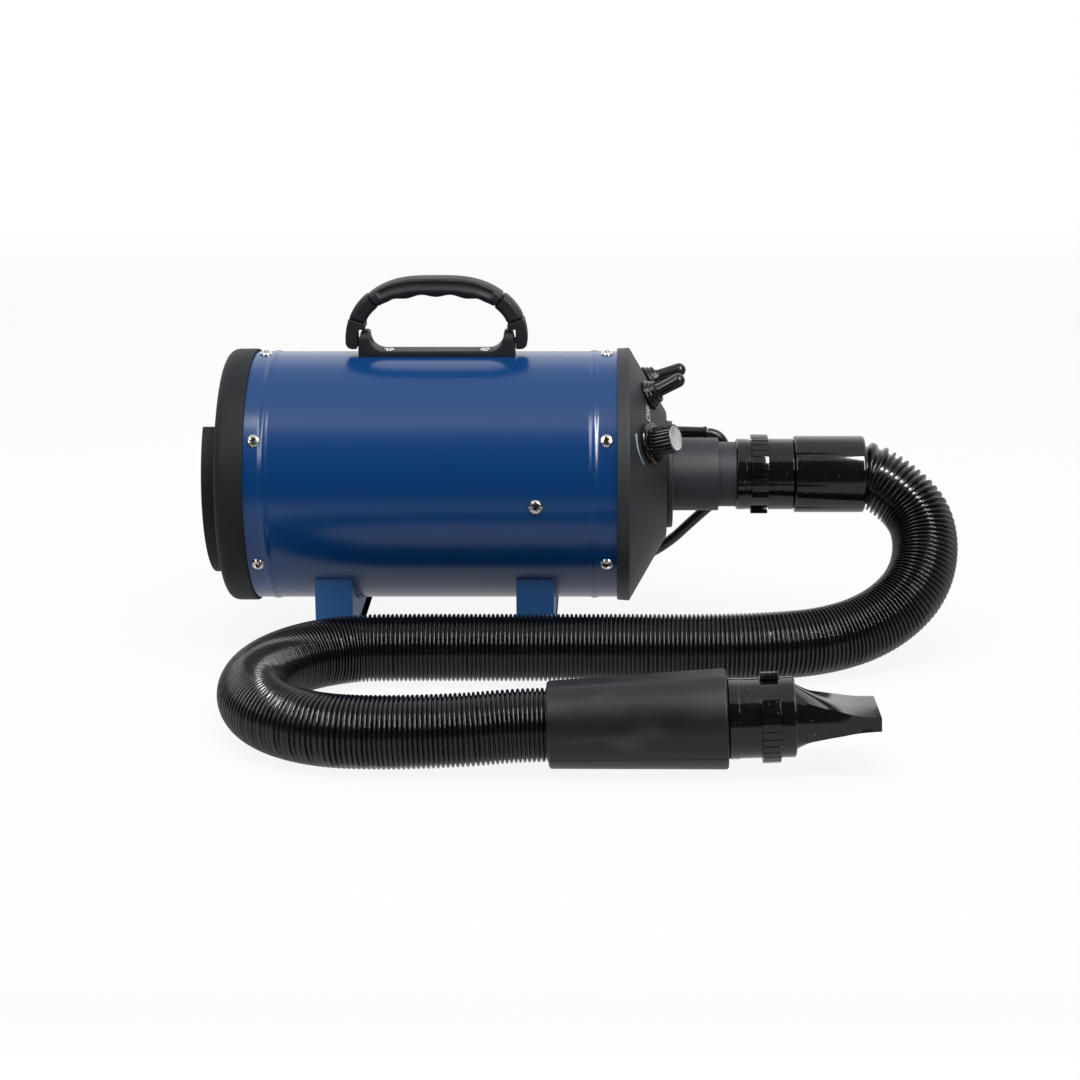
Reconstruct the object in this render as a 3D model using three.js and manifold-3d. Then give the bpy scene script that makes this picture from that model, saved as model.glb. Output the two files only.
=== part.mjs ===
// A canister pet dryer: a blue steel tube on two folded feet, moulded caps, a hinged carrying
// handle, switches and a heat dial on the front cone, a ribbed hose with a flat nozzle, a mains lead.
// Millimetres, +Z up. The model is drawn about the tube's axis, which runs along X with x = 0 at
// the front rim of the tube, and the whole is then set on its feet.
import * as THREE from "three";
import { mergeVertices } from "three/addons/utils/BufferGeometryUtils.js";
import Module from "manifold-3d";

// Clearances
const fit = 0.3; // between two pieces that touch
const slipFit = 0.5; // round a piece that slides or turns by hand
const overrun = 1; // how far a cutter passes what it cuts, and a joined form sinks in
const weld = 0.001; // vertices nearer than this are one

// Counts of sides and steps
const bodySides = 32;
const innerSides = bodySides / 2; // so that what lies inside the tube stays clear of its faces
const pipeSides = 20;
const smallSides = 10;

// The steel tube
const tubeRadius = 85;
const tubeLift = 30; // from the floor to the tube's underside
const tubeWall = 1.2;
const tubeShown = 247.5; // between the lips of the two caps
const tubeUnderRearLip = 8.5;
const tubeUnderFrontLip = 4;
const beadWidth = 4;
const beadHeight = 0.8;
const beadToRearLip = 13.5;
const beadToFrontLip = 15.5;

// Rear cap
const lipWall = 1.7;
const capWall = 2.5;
const rearLipLength = 13.5;
const rearCapDepth = 19.5;
const rearCornerDrop = 2; // how far the corner's middle point lies inside the lip
const rearCorner = 7;
const skirtWall = 2.3;
const skirtReach = 11.5; // past the lip's edge, inside the tube
const rimInset = 12.5; // from the corner
const rimWall = 3;
const rimLength = 10.5;
const rimOpeningDegrees = 94;
const intakeInset = 9.5; // from the rim
const intakeDepth = 20;
const intakeWall = 2.5;
const grilleThickness = 3;
const grilleHubRadius = 11;
const grilleSpokeWidth = 3;
const grilleSpokes = 6;

// Filter cover and foam
const coverProud = 2.5; // of the cap's face
const coverPlate = 2.5;
const coverSkirtWall = 2.4;
const coverSkirtLength = 9;
const louvreCount = 5;
const louvrePitch = 18;
const louvreHeight = 6;
const louvreMargin = 8;

// Front cone cover
const frontLipLength = 8.3;
const frontLipDraft = 0.7;
const coneTopRadius = 44;
const coneNormalDegrees = 30; // between the cone's normal and the axis
const coneEdgeRounding = 1.2;
const coneEdgeWidth = 2.5;
const frontSkirtReach = 11;

// Outlet
const outletRadius = 25.2;
const outletFlangeRadius = 37;
const outletFlange = 3.8;
const outletFlangeRounding = 0.9;
const outletEnd = 70; // from the front rim
const outletTail = 8; // behind the cone's face
const spigotRadius = 22.4;
const spigotEnd = 104;
const outletBore = 20;

// Feet
const footToRearLip = 56;
const footToFrontLip = 55.4;
const footLength = 25.5; // along the tube
const footReach = 64; // to each side of the axis
const footSheet = 2;
const footPadHeight = 3.7;
const footPadRadius = 10;
const footLeg = 26;
const footArchHeight = 13;
const footArchRounding = 10;
const footPadCentre = 52;

// Handle base and handle: lengths from the handle's middle, heights above the tube
const handleOffset = 0.75; // from the middle of the tube that shows
const handleBaseWidth = 16;
const handlePlate = 3.6;
const handleSaddleDepth = 2; // how far the base reaches down round the tube
const earOuter = 53.4;
const earThickness = 5.6;
const earTop = 17.2;
const earRounding = 2.5;
const earSwing = 8; // the ear's reach from the pivot, inside the arm's notch
const earFillet = 10;
const pivotHeight = 10;
const pinRadius = 2;
const pinHead = 5.5; // how far the pin runs into the arm
const screwOffset = 32.9;
const counterboreRadius = 4.2;
const counterboreDepth = 1.6;
const armGap = 0.6; // to the ear
const armThickness = 7.9;
const armBottom = 5;
const armCornerRounding = 4;
const armShoulderHeight = 19;
const armBulgeInset = 2.1; // of the outer side's curve, over the shoulder
const armBulgeRise = 15.3;
const armNotchGap = 1.2; // over the ear
const armNotchDepth = 4.6;
const armElbowInset = 3.2;
const armElbowRise = 4.2;
const armWidth = 16;
const gripJointInset = 15.3; // from the arm's outer side
const gripJointRise = 23.5; // from the arm's shoulder
const gripJointWide = 7.2;
const gripJointTall = 8.6;
const gripShoulderInset = 14.6; // from the joint's outer end
const gripShoulderRise = 7.8;
const gripCrown = 3.7; // above the shoulders
const gripThickness = 13;
const gripUnderInset = 13.4; // from the joint's inner end
const gripUnderSag = 2.4; // of the underside's ends below its middle
const fingerDips = 4;
const fingerDip = 1.1;
const gripWidth = 20;
const panelInset = 3.2;
const panelDepth = 0.9;

// Toggle switches, in frames whose +X is the cone's normal
const toggleFromRim = 22.7; // inwards from the cone's rim, square to the axis
const toggleDegrees = 20; // from straight up, to each side
const toggleTiltDegrees = 15; // of the far lever, towards the axis
const toggleRaiseDegrees = 5; // of the near lever, away from it
const nutRadius = 10.5;
const nutHeight = 3;
const collarRadius = 7.7;
const nutTop = 7.5;
const togglePivot = 5;
const ballRadius = 4.4;
const leverRadius = 4.8;
const leverTipRadius = 4.6;
const leverTop = 28;
const mouthRadius = 6.3;
const bushingRadius = 5.6;
const switchLength = 20;
const switchWide = 13;
const switchTall = 20;

// Heat dial, in the same kind of frame
const dialFromRim = 24.4;
const dialDegrees = 33.5; // up from the near side
const dialSkirtRadius = 14.2;
const dialSkirtLift = 1.3;
const dialSkirt = 2;
const knobRadius = 10;
const knobRibDepth = 0.5;
const knobRibs = 18;
const knobLength = 14.8;
const knobCapRadius = 9.3;
const knobCap = 1.5;
const dialShaftRadius = 3;
const dialShaftInKnob = 9;
const dialShaftBehind = 3;
const dialBushingRadius = 4.7;
const dialBushingTop = 0.8;
const moduleSide = 18;
const moduleDepth = 10;
const moduleGap = 1.1; // behind the cone's curved wall, round the bushing's shoulder

// Cable gland
const glandY = 45;
const glandZ = 18;
const glandEnd = 64;
const glandInside = 12;
const glandRadius = 4.6;
const glandBarrel = 0.3;
const glandFlangeRadius = 5;
const glandFlange = 4;

// Fan, motor and heater inside the tube
const shroudFromRear = 42; // from the tube's rear end
const shroudPlate = 2.5;
const shroudInlet = 34;
const shroudSkirtRadius = 62;
const shroudSkirtLength = 38;
const fanRadius = 54;
const fanFromShroud = 30; // to the front of the impeller's plate
const fanPlate = 2;
const fanBladeWidth = 20;
const fanHubRadius = 10;
const fanBlades = 8;
const fanBladeThickness = 1.6;
const fanBladeRoot = 8;
const fanBladeLeanDegrees = 42;
const shaftRadius = 4;
const motorRadius = 42;
const motorFromFan = 16;
const motorLength = 95;
const motorNeckRadius = 16;
const motorNeck = 6;
const shaftInMotor = 14;
const mountPlate = 6;
const mountWindows = 6;
const mountHubWidth = 5; // round the motor, inside the windows
const mountRimWidth = 7.5; // outside them
const mountWindowDegrees = 44;
const ductFromMotor = 3.3;
const ductStraightBeforeHeater = 5.53;
const ductInset = 1.2; // inside the caps' skirts
const ductWall = 1.5;
const heaterLength = 40;
const heaterCoreRadius = 14;
const heaterSheet = 1.5;
const heaterRingWidth = 2.8;
const heaterWire = 1.2;
const heaterTurns = 4;

// Hose fittings
const airwayRadius = 17.2;
const connectorStart = 82.2;
const connectorEnd = 122.1;
const sleeveRadius = 24.5;
const sleeveChamfer = 0.8;
const grooveRadius = 23.5;
const padStart = 92.5;
const padLength = 11.5;
const padOuter = 27.4;
const padTravel = 1;
const padSideGap = 0.7;
const padSpanDegrees = 138;
const padRibs = 13;
const padRibDepth = 0.6;
const connectorPadDegrees = 46.5; // up from the near side
const cuffRadius = 26.5;
const cuffEnd = 171;
const cuffFlutes = 4;
const cuffFluteDepth = 0.8;
const cuffFluteRadius = 2.5;
const cuffFluteShort = 3; // of the hose's end
const cuffRounding = 2;

// Ribbed hose
const hoseRadius = 22.4;
const hoseValley = 20.8;
const hoseBore = 17.6;
const ribPitch = 7.2;
const ribsPerBoreRing = 5;
const hoseRingPoints = 8;
// The hose's centre from the cuff to the grip, from the front rim and the axis
const hoseRoute = [
  [126.5, 0, 0],
  [149, 0, 0],
  [167, 0, 0],
  [174.5, -0.2, -0.5],
  [183, -2, -4.6],
  [192.6, -6, -10.8],
  [201.6, -11.3, -18.2],
  [208, -18.2, -26.6],
  [210.9, -27, -36.4],
  [210.4, -37.4, -47.6],
  [206.5, -47, -58.6],
  [199, -55.4, -69],
  [187.6, -63, -78.2],
  [174, -70.4, -85],
  [156.7, -78.6, -89.8],
  [133, -88.5, -92.2],
  [105, -96.4, -92.3],
  [68.4, -100.2, -92.3],
  [-10, -100.6, -92.3],
  [-90, -100.5, -92.3],
  [-145, -100.7, -92.3],
  [-176, -103.6, -92.3],
  [-204, -119, -92.3],
  [-223, -145, -92.3],
  [-230, -178, -92.3],
  [-223, -211, -92.3],
  [-204, -237, -92.3],
  [-176, -252.6, -92.3],
  [-140, -257.3, -92],
  [-95, -257.2, -90.6],
  [-62, -254.8, -88.9],
  [-41.6, -254.5, -88.28],
  [-18, -254.5, -87.43],
  [4.1, -254.5, -86.63],
];

// Grip, collar and nozzle, along the grip's own axis from its end at the hose
const gripX = -41.6;
const gripY = -254.5;
const gripLift = 0.2; // above the floor
const gripRearRadius = 26.5;
const gripFrontRadius = 30.4;
const gripLength = 107.9;
const gripSocket = 46;
const gripRounding = 2;
const gripFlatWidth = 17;
const gripFlatDepth = 0.8;
const collarLength = 40.6;
const collarOuter = 24.4;
const collarGroove = 23.4;
const collarPadStart = 20.2;
const collarPadLength = 10.9;
const collarPadDegrees = -25; // up from the near side
const nozzleRadius = 20;
const nozzleShank = 19.5;
const nozzleLength = 50;
const nozzleWall = 1.8;
const nozzleTipHalfWidth = 25;
const nozzleTipHalfHeight = 4.35;
const nozzleTipWall = 1.5;
const nozzleStations = 5;
const nozzleRingPoints = 20;
const nozzleRollDegrees = -5;

// Mains lead
const cordRadius = 3.75;
const cordSides = 8;
const cordSteps = 40;
// The lead's centre from the gland to the coil, from the front rim and the axis
const cordRoute = [
  [64.3, 45, 18],
  [71, 45, 17.5],
  [78.5, 45, 14.6],
  [87, 45.4, 6],
  [91, 46, -7],
  [87.6, 47, -19.5],
  [79.5, 48, -28.2],
  [71, 49.2, -34.6],
  [62, 50.6, -40.9],
  [51.5, 53.4, -51.6],
  [41, 57, -62.6],
  [29.5, 61.4, -72.4],
  [13, 66.6, -83],
  [-5, 72.2, -93.4],
  [-24, 77, -102],
  [-44, 80, -107.8],
  [-64, 81.1, -109.4],
  [-84, 81.25, -109.45],
  [-110.2, 81.25, -109.45],
];
const coilX = -118;
const coilY = 135.6;
const coilOuter = 54.35; // to the middle of the outermost turn
const coilPitch = 8.15;
const coilTurns = 7.5;
const coilTurnSteps = 24;
const coilSides = 6;
const coilLift = 1.8; // above the floor, for the tie that goes under it
const coilLead = 7.8; // straight stretch where the lead comes in
const coilTail = 16; // straight stretch to the plug
const tieWidth = 11;
const tieThickness = 1.1;
const tieGap = 0.4;
const plugRadius = 18.5;
const plugDisc = 11;
const plugNeckRadius = 11;
const plugReliefRadius = 5.4;
const plugReliefLength = 20;
const plugShoulder = 34; // from the lead's end to the disc
const plugFlatHalf = 14;
const plugPinRadius = 2.4;
const plugPinPitch = 19;
const plugPinLength = 19;
const plugPinInside = 4;

// Places that follow from the sizes above
const radians = THREE.MathUtils.degToRad;
const axisHeight = tubeLift + tubeRadius;
const tubeBore = tubeRadius - tubeWall;
const lipBore = tubeRadius + fit;
const lipRadius = lipBore + lipWall;
const skirtRadius = tubeBore - fit;
const skirtBore = skirtRadius - skirtWall;
const rearLip = -tubeShown;
const rearFace = rearLip - rearCapDepth;
const tubeRear = rearLip - tubeUnderRearLip;
const rearFaceRadius = lipRadius - rearCorner;
const rimRadius = rearFaceRadius - rimInset;
const intakeRadius = rimRadius - intakeInset;
const coneBaseRadius = lipRadius + frontLipDraft;
const coneFaceRadius = coneTopRadius - coneEdgeWidth;
const coneSlope = Math.tan(radians(coneNormalDegrees)); // along X for each unit of radius
const coneTop = frontLipLength + (coneBaseRadius - coneTopRadius) * coneSlope;
const coneFace = coneTop + coneEdgeRounding / 2;
const footBottom = -axisHeight + footPadHeight + fit;
const bodyRear = rearFace - rimLength;
const bodyMiddle = (bodyRear + spigotEnd) / 2;

const wasm = await Module();
wasm.setup();

// A closed geometry as a solid with its faces outwards.
function solidOf(geometry) {
  const loose = geometry.index ? geometry.toNonIndexed() : geometry;
  const bare = new THREE.BufferGeometry();
  bare.setAttribute("position", loose.getAttribute("position").clone());
  const merged = mergeVertices(bare, weld);
  const vertProperties = merged.attributes.position.array;
  const triVerts = new Uint32Array(merged.index.array);
  const solid = new wasm.Manifold(new wasm.Mesh({ numProp: 3, vertProperties, triVerts }));
  if (solid.volume() >= 0) return solid;
  triVerts.reverse();
  return new wasm.Manifold(new wasm.Mesh({ numProp: 3, vertProperties, triVerts }));
}

function geometryOf(solid) {
  const { vertProperties, triVerts } = solid.getMesh();
  const geometry = new THREE.BufferGeometry();
  geometry.setAttribute("position", new THREE.BufferAttribute(vertProperties, 3));
  geometry.setIndex(new THREE.BufferAttribute(triVerts, 1));
  return geometry;
}

function join(first, ...others) {
  return geometryOf(others.reduce((whole, other) => whole.add(solidOf(other)), solidOf(first)));
}

function cut(first, ...others) {
  return geometryOf(others.reduce((whole, other) => whole.subtract(solidOf(other)), solidOf(first)));
}

// A form turned about the X axis from points of [x, radius], which end on the axis or close on
// themselves. Its first corner points up.
function turned(profile, sides) {
  const onAxis = profile[0][1] === 0;
  const points = (onAxis ? profile : [...profile, profile[0]]).map(
    ([x, radius]) => new THREE.Vector2(radius, x),
  );
  return new THREE.LatheGeometry(points, sides).rotateZ(-Math.PI / 2);
}

function rod(from, to, radius, sides) {
  return turned([[from, 0], [from, radius], [to, radius], [to, 0]], sides);
}

function block([x0, x1], [y0, y1], [z0, z1]) {
  const box = new THREE.BoxGeometry(x1 - x0, y1 - y0, z1 - z0);
  return box.translate((x0 + x1) / 2, (y0 + y1) / 2, (z0 + z1) / 2);
}

const alongAxis = {
  x: [new THREE.Vector3(0, 1, 0), new THREE.Vector3(0, 0, 1), new THREE.Vector3(1, 0, 0)],
  y: [new THREE.Vector3(1, 0, 0), new THREE.Vector3(0, 0, 1), new THREE.Vector3(0, -1, 0)],
};

// An outline drawn across an axis and given a length along it, centred on zero: Y and Z across X,
// or X and Z across Y.
function prism(outline, length, axis, curveSegments = 6) {
  const shape = Array.isArray(outline)
    ? new THREE.Shape(outline.map((point) => new THREE.Vector2(...point)))
    : outline;
  const options = { depth: length, bevelEnabled: false, curveSegments };
  const geometry = new THREE.ExtrudeGeometry(shape, options).translate(0, 0, -length / 2);
  return geometry.applyMatrix4(new THREE.Matrix4().makeBasis(...alongAxis[axis]));
}

// A ring sector across the X axis. Angles are counter-clockwise from +Y towards +Z.
function sector(inner, outer, fromDegrees, toDegrees, length, curveSegments) {
  const shape = new THREE.Shape();
  shape.absarc(0, 0, outer, radians(fromDegrees), radians(toDegrees), false);
  shape.absarc(0, 0, inner, radians(toDegrees), radians(fromDegrees), true);
  return prism(shape, length, "x", curveSegments);
}

// A skin over rings of equally many points: capped at both ends, or going round and back to the
// first ring, as a hollow form does.
function loft(rings, goesRound = false) {
  const count = rings[0].length;
  const positions = rings.flat().flatMap((point) => point.toArray());
  const faces = [];
  const last = goesRound ? rings.length : rings.length - 1;
  for (let i = 0; i < last; i += 1) {
    const here = i * count;
    const next = ((i + 1) % rings.length) * count;
    for (let k = 0; k < count; k += 1) {
      const beside = (k + 1) % count;
      faces.push(here + k, here + beside, next + beside, here + k, next + beside, next + k);
    }
  }
  for (let k = 1; !goesRound && k < count - 1; k += 1) {
    const end = last * count;
    faces.push(0, k + 1, k, end, end + k, end + k + 1);
  }
  const geometry = new THREE.BufferGeometry();
  geometry.setAttribute("position", new THREE.Float32BufferAttribute(positions, 3));
  geometry.setIndex(faces);
  return geometry;
}

// The points of a circle round a place, in the plane of two directions.
function ring(centre, across, up, radius, count) {
  return Array.from({ length: count }, (_, k) => {
    const angle = (k / count) * 2 * Math.PI;
    const point = centre.clone().addScaledVector(across, radius * Math.cos(angle));
    return point.addScaledVector(up, radius * Math.sin(angle));
  });
}

const curveThrough = (points) =>
  new THREE.CatmullRomCurve3(points.map((point) => new THREE.Vector3(...point)));

const paint = (color, roughness, metalness = 0) => ({ color, roughness, metalness });
const finishes = {
  bluePowder: paint(0x1d3f78, 0.4),
  capBlack: paint(0x1b1f22, 0.75),
  coneBlack: paint(0x2a2c31, 0.6),
  outletBlack: paint(0x2f3136, 0.4),
  glossBlack: paint(0x0b0b0d, 0.15),
  hoseBlack: paint(0x121214, 0.3),
  gripBlack: paint(0x1a1a1c, 0.5),
  rubber: paint(0x161616, 0.85),
  foam: paint(0x2b2b2b, 1),
  steel: paint(0xb8bcc0, 0.3, 1),
  silver: paint(0xcfd3d6, 0.22, 1),
  board: paint(0x2d5b3c, 0.6),
  mica: paint(0xb9a27a, 0.7),
  wire: paint(0x8a8178, 0.45, 1),
  motorSteel: paint(0x8f9498, 0.4, 1),
  fanPlastic: paint(0x2a2a2a, 0.5),
};

function addPiece(parent, name, geometry, finish) {
  const mesh = new THREE.Mesh(geometryOf(solidOf(geometry)), new THREE.MeshStandardMaterial(finish));
  mesh.name = name;
  parent.add(mesh);
}

const group = new THREE.Group();
const dryer = new THREE.Group();
dryer.position.set(-bodyMiddle, 0, axisHeight);
group.add(dryer);

// Steel tube with a raised bead near each end
function housingTube() {
  const bead = (x) => [
    [x - beadWidth / 2, tubeRadius],
    [x, tubeRadius + beadHeight],
    [x + beadWidth / 2, tubeRadius],
  ];
  return turned(
    [
      [tubeRear, tubeBore],
      [tubeRear, tubeRadius],
      ...bead(rearLip + beadToRearLip),
      ...bead(-beadToFrontLip),
      [tubeUnderFrontLip, tubeRadius],
      [tubeUnderFrontLip, tubeBore],
    ],
    bodySides,
  );
}
addPiece(dryer, "housing_tube", housingTube(), finishes.bluePowder);

// Rear cap: a lip over the tube, a skirt inside it, the intake with its grille, and a rim that is
// open at the top
const intakeBottom = rearFace + intakeDepth;

function rearCap() {
  const corner = rearLip - rearLipLength;
  const shell = turned(
    [
      [rearLip, lipRadius],
      [corner, lipRadius],
      [(corner + 2 * rearFace) / 3, lipRadius - rearCornerDrop],
      [rearFace, rearFaceRadius],
      [rearFace, intakeRadius],
      [intakeBottom, intakeRadius],
      [intakeBottom, intakeRadius + intakeWall],
      [rearFace + capWall, intakeRadius + intakeWall],
      [rearFace + capWall, rearFaceRadius - rearCornerDrop],
      [corner, skirtBore],
      [rearLip + skirtReach, skirtBore],
      [rearLip + skirtReach, skirtRadius],
      [tubeRear - fit, skirtRadius],
      [tubeRear - fit, lipBore],
      [rearLip, lipBore],
    ],
    bodySides,
  );
  const halfOpening = rimOpeningDegrees / 2;
  const rimSegments = 9;
  const rim = sector(
    rimRadius - rimWall,
    rimRadius,
    90 + halfOpening,
    450 - halfOpening,
    rimLength + overrun,
    rimSegments,
  ).translate(rearFace + (overrun - rimLength) / 2, 0, 0);
  const grilleRear = intakeBottom - grilleThickness;
  const hub = rod(grilleRear, intakeBottom, grilleHubRadius, smallSides);
  const spokes = Array.from({ length: grilleSpokes }, (_, k) => {
    const half = grilleSpokeWidth / 2;
    const spoke = block([grilleRear, intakeBottom], [-half, half], [0, intakeRadius + intakeWall / 2]);
    return spoke.rotateX((k / grilleSpokes) * 2 * Math.PI);
  });
  return join(shell, rim, hub, ...spokes);
}
addPiece(dryer, "rear_cap", rearCap(), finishes.capBlack);

// Filter cover with louvres, and the foam that it holds against the grille
const coverRadius = intakeRadius - slipFit;
const coverRear = rearFace - coverProud;

function filterCover() {
  const plateFront = coverRear + coverPlate;
  const skirtFront = plateFront + coverSkirtLength;
  const shell = turned(
    [
      [coverRear, 0],
      [coverRear, coverRadius],
      [skirtFront, coverRadius],
      [skirtFront, coverRadius - coverSkirtWall],
      [plateFront, coverRadius - coverSkirtWall],
      [plateFront, 0],
    ],
    bodySides,
  );
  const louvres = Array.from({ length: louvreCount }, (_, k) => {
    const height = (k - (louvreCount - 1) / 2) * louvrePitch;
    const half = Math.sqrt(coverRadius ** 2 - height ** 2) - louvreMargin;
    return block(
      [coverRear - overrun, plateFront + overrun],
      [-half, half],
      [height - louvreHeight / 2, height + louvreHeight / 2],
    );
  });
  return cut(shell, ...louvres);
}
addPiece(dryer, "filter_cover", filterCover(), finishes.capBlack);
addPiece(
  dryer,
  "foam_filter",
  rod(
    coverRear + coverPlate + fit,
    intakeBottom - grilleThickness - fit,
    coverRadius - coverSkirtWall - fit,
    pipeSides,
  ),
  finishes.foam,
);

// A frame on the cone, at a radius and an angle up from the near side: +X is the cone's normal,
// +Y runs round the cone and +Z runs along its slope, outwards to its rim
function onCone(radius, degrees) {
  const angle = radians(degrees);
  const radial = new THREE.Vector3(0, -Math.cos(angle), Math.sin(angle));
  const normal = radial.clone().multiplyScalar(Math.sin(radians(coneNormalDegrees)));
  normal.x = Math.cos(radians(coneNormalDegrees));
  const around = new THREE.Vector3(1, 0, 0).cross(radial).negate();
  const slope = new THREE.Vector3().crossVectors(normal, around);
  const frame = new THREE.Matrix4().makeBasis(normal, around, slope);
  const x = frontLipLength + (coneBaseRadius - radius) * coneSlope;
  return frame.setPosition(x, radial.y * radius, radial.z * radius);
}
const toggleRadius = coneBaseRadius - toggleFromRim;
const dialRadius = coneBaseRadius - dialFromRim;
const toggleFrames = {
  near: onCone(toggleRadius, 90 - toggleDegrees),
  far: onCone(toggleRadius, 90 + toggleDegrees),
};
const dialFrame = onCone(dialRadius, dialDegrees);

// Front cone cover
const coneFloor = coneFace - capWall;
const glandHole = glandRadius + glandBarrel + fit;

function frontCone() {
  const wallAlong = capWall / Math.cos(radians(coneNormalDegrees));
  const innerAt = (radius) => frontLipLength + (coneBaseRadius - radius) * coneSlope - wallAlong;
  const innerTop = coneBaseRadius - (coneFloor - frontLipLength + wallAlong) / coneSlope;
  const shell = turned(
    [
      [0, lipRadius],
      [frontLipLength, coneBaseRadius],
      [coneTop - coneEdgeRounding * coneSlope, coneTopRadius + coneEdgeRounding],
      [coneFace, coneFaceRadius],
      [coneFace, outletRadius + fit],
      [coneFloor, outletRadius + fit],
      [coneFloor, innerTop],
      [innerAt(skirtBore), skirtBore],
      [-frontSkirtReach, skirtBore],
      [-frontSkirtReach, skirtRadius],
      [tubeUnderFrontLip + fit, skirtRadius],
      [tubeUnderFrontLip + fit, lipBore],
      [0, lipBore],
    ],
    bodySides,
  );
  const through = capWall + overrun;
  const toggleHoles = Object.values(toggleFrames).map((frame) =>
    rod(-through, overrun, bushingRadius + fit, smallSides).applyMatrix4(frame),
  );
  const dialHole = rod(-through, overrun, dialBushingRadius + fit, smallSides).applyMatrix4(dialFrame);
  const leadHole = rod(0, coneFace + overrun, glandHole, smallSides).translate(0, glandY, glandZ);
  return cut(shell, ...toggleHoles, dialHole, leadHole);
}
addPiece(dryer, "front_cone", frontCone(), finishes.coneBlack);

// Outlet flange, tube and spigot in one piece
const flangeFront = coneFace + fit + outletFlange;
addPiece(
  dryer,
  "outlet_tube",
  turned(
    [
      [coneFace - outletTail, outletBore],
      [coneFace - outletTail, outletRadius],
      [coneFace + fit, outletRadius],
      [coneFace + fit, outletFlangeRadius],
      [flangeFront - outletFlangeRounding, outletFlangeRadius],
      [flangeFront, outletFlangeRadius - outletFlangeRounding],
      [flangeFront, outletRadius],
      [outletEnd, outletRadius],
      [outletEnd, spigotRadius],
      [spigotEnd, spigotRadius],
      [spigotEnd, outletBore],
    ],
    pipeSides,
  ),
  finishes.outletBlack,
);

// Feet: folded sheet brackets that are open below, each on two rubber pads
function footBracket() {
  const saddle = tubeRadius + fit;
  const side = Math.asin(footReach / saddle);
  const leg = footReach - footLeg;
  const archTop = footBottom + footArchHeight;
  const outline = new THREE.Shape();
  outline.moveTo(-footReach, footBottom);
  outline.lineTo(-leg, footBottom);
  outline.lineTo(-leg, archTop - footArchRounding);
  outline.quadraticCurveTo(-leg, archTop, footArchRounding - leg, archTop);
  outline.lineTo(leg - footArchRounding, archTop);
  outline.quadraticCurveTo(leg, archTop, leg, archTop - footArchRounding);
  outline.lineTo(leg, footBottom);
  outline.lineTo(footReach, footBottom);
  outline.absarc(0, 0, saddle, side - Math.PI / 2, -side - Math.PI / 2, true);
  const outer = prism(outline, footLength, "x");
  const inside = footReach - footSheet;
  const pocketSaddle = saddle + footSheet;
  const pocketSide = Math.asin(inside / pocketSaddle);
  const pocket = new THREE.Shape();
  pocket.moveTo(-inside, footBottom + footSheet);
  pocket.lineTo(inside, footBottom + footSheet);
  pocket.absarc(0, 0, pocketSaddle, pocketSide - Math.PI / 2, -pocketSide - Math.PI / 2, true);
  return cut(outer, prism(pocket, footLength - 2 * footSheet, "x"));
}
const feet = { rear: rearLip + footToRearLip, front: -footToFrontLip };
for (const [end, x] of Object.entries(feet)) {
  addPiece(dryer, `foot_bracket_${end}`, footBracket().translate(x, 0, 0), finishes.bluePowder);
  for (const [side, sign] of [["near", -1], ["far", 1]]) {
    const pad = rod(0, footPadHeight, footPadRadius, smallSides).rotateY(-Math.PI / 2);
    pad.translate(x, sign * footPadCentre, -axisHeight);
    addPiece(dryer, `foot_pad_${end}_${side}`, pad, finishes.rubber);
  }
}

// Handle base: a saddle plate with an ear at each end
const handle = new THREE.Group();
handle.position.set(handleOffset - tubeShown / 2, 0, tubeRadius);
dryer.add(handle);
const pinHole = pinRadius + fit;
const earInner = earOuter - earThickness;
const armInner = earOuter + armGap;
const handleHalf = armInner + armThickness;

function handleBase() {
  const bottom = -handleSaddleDepth;
  const outline = new THREE.Shape();
  outline.moveTo(-earOuter, bottom);
  outline.lineTo(earOuter, bottom);
  outline.lineTo(earOuter, earTop - earRounding);
  outline.quadraticCurveTo(earOuter, earTop, earOuter - earRounding, earTop);
  outline.lineTo(earInner, earTop);
  outline.lineTo(earInner, handlePlate + earFillet);
  outline.quadraticCurveTo(earInner, handlePlate, earInner - earFillet, handlePlate);
  outline.lineTo(earFillet - earInner, handlePlate);
  outline.quadraticCurveTo(-earInner, handlePlate, -earInner, handlePlate + earFillet);
  outline.lineTo(-earInner, earTop);
  outline.lineTo(earRounding - earOuter, earTop);
  outline.quadraticCurveTo(-earOuter, earTop, -earOuter, earTop - earRounding);
  const body = prism(outline, handleBaseWidth, "y", 3);
  const reach = handleHalf + overrun;
  const saddle = rod(-reach, reach, tubeRadius + fit, bodySides).translate(0, 0, -tubeRadius);
  const pinBore = rod(-reach, reach, pinHole, smallSides).translate(0, 0, pivotHeight);
  const counterbores = [-1, 1].map((sign) => {
    const bore = rod(0, counterboreDepth + overrun, counterboreRadius, smallSides);
    bore.rotateY(-Math.PI / 2);
    return bore.translate(sign * screwOffset, 0, handlePlate - counterboreDepth);
  });
  // The ears are round about the pivot, so that the arms swing past them
  const wide = handleBaseWidth / 2 + overrun;
  const above = block([-handleHalf, handleHalf], [-wide, wide], [pivotHeight, earTop + overrun]);
  const swing = rod(-reach, reach, earSwing, pipeSides).translate(0, 0, pivotHeight);
  return cut(body, saddle, pinBore, cut(above, swing), ...counterbores);
}
addPiece(handle, "handle_base", handleBase(), finishes.capBlack);

// Handle: two arms hinged on pins through the ears, and a grip between them
const joint = {
  outer: new THREE.Vector2(handleHalf - gripJointInset, armShoulderHeight + gripJointRise),
  inner: new THREE.Vector2(gripJointWide, gripJointTall),
};
joint.inner.subVectors(joint.outer, joint.inner);

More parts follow.
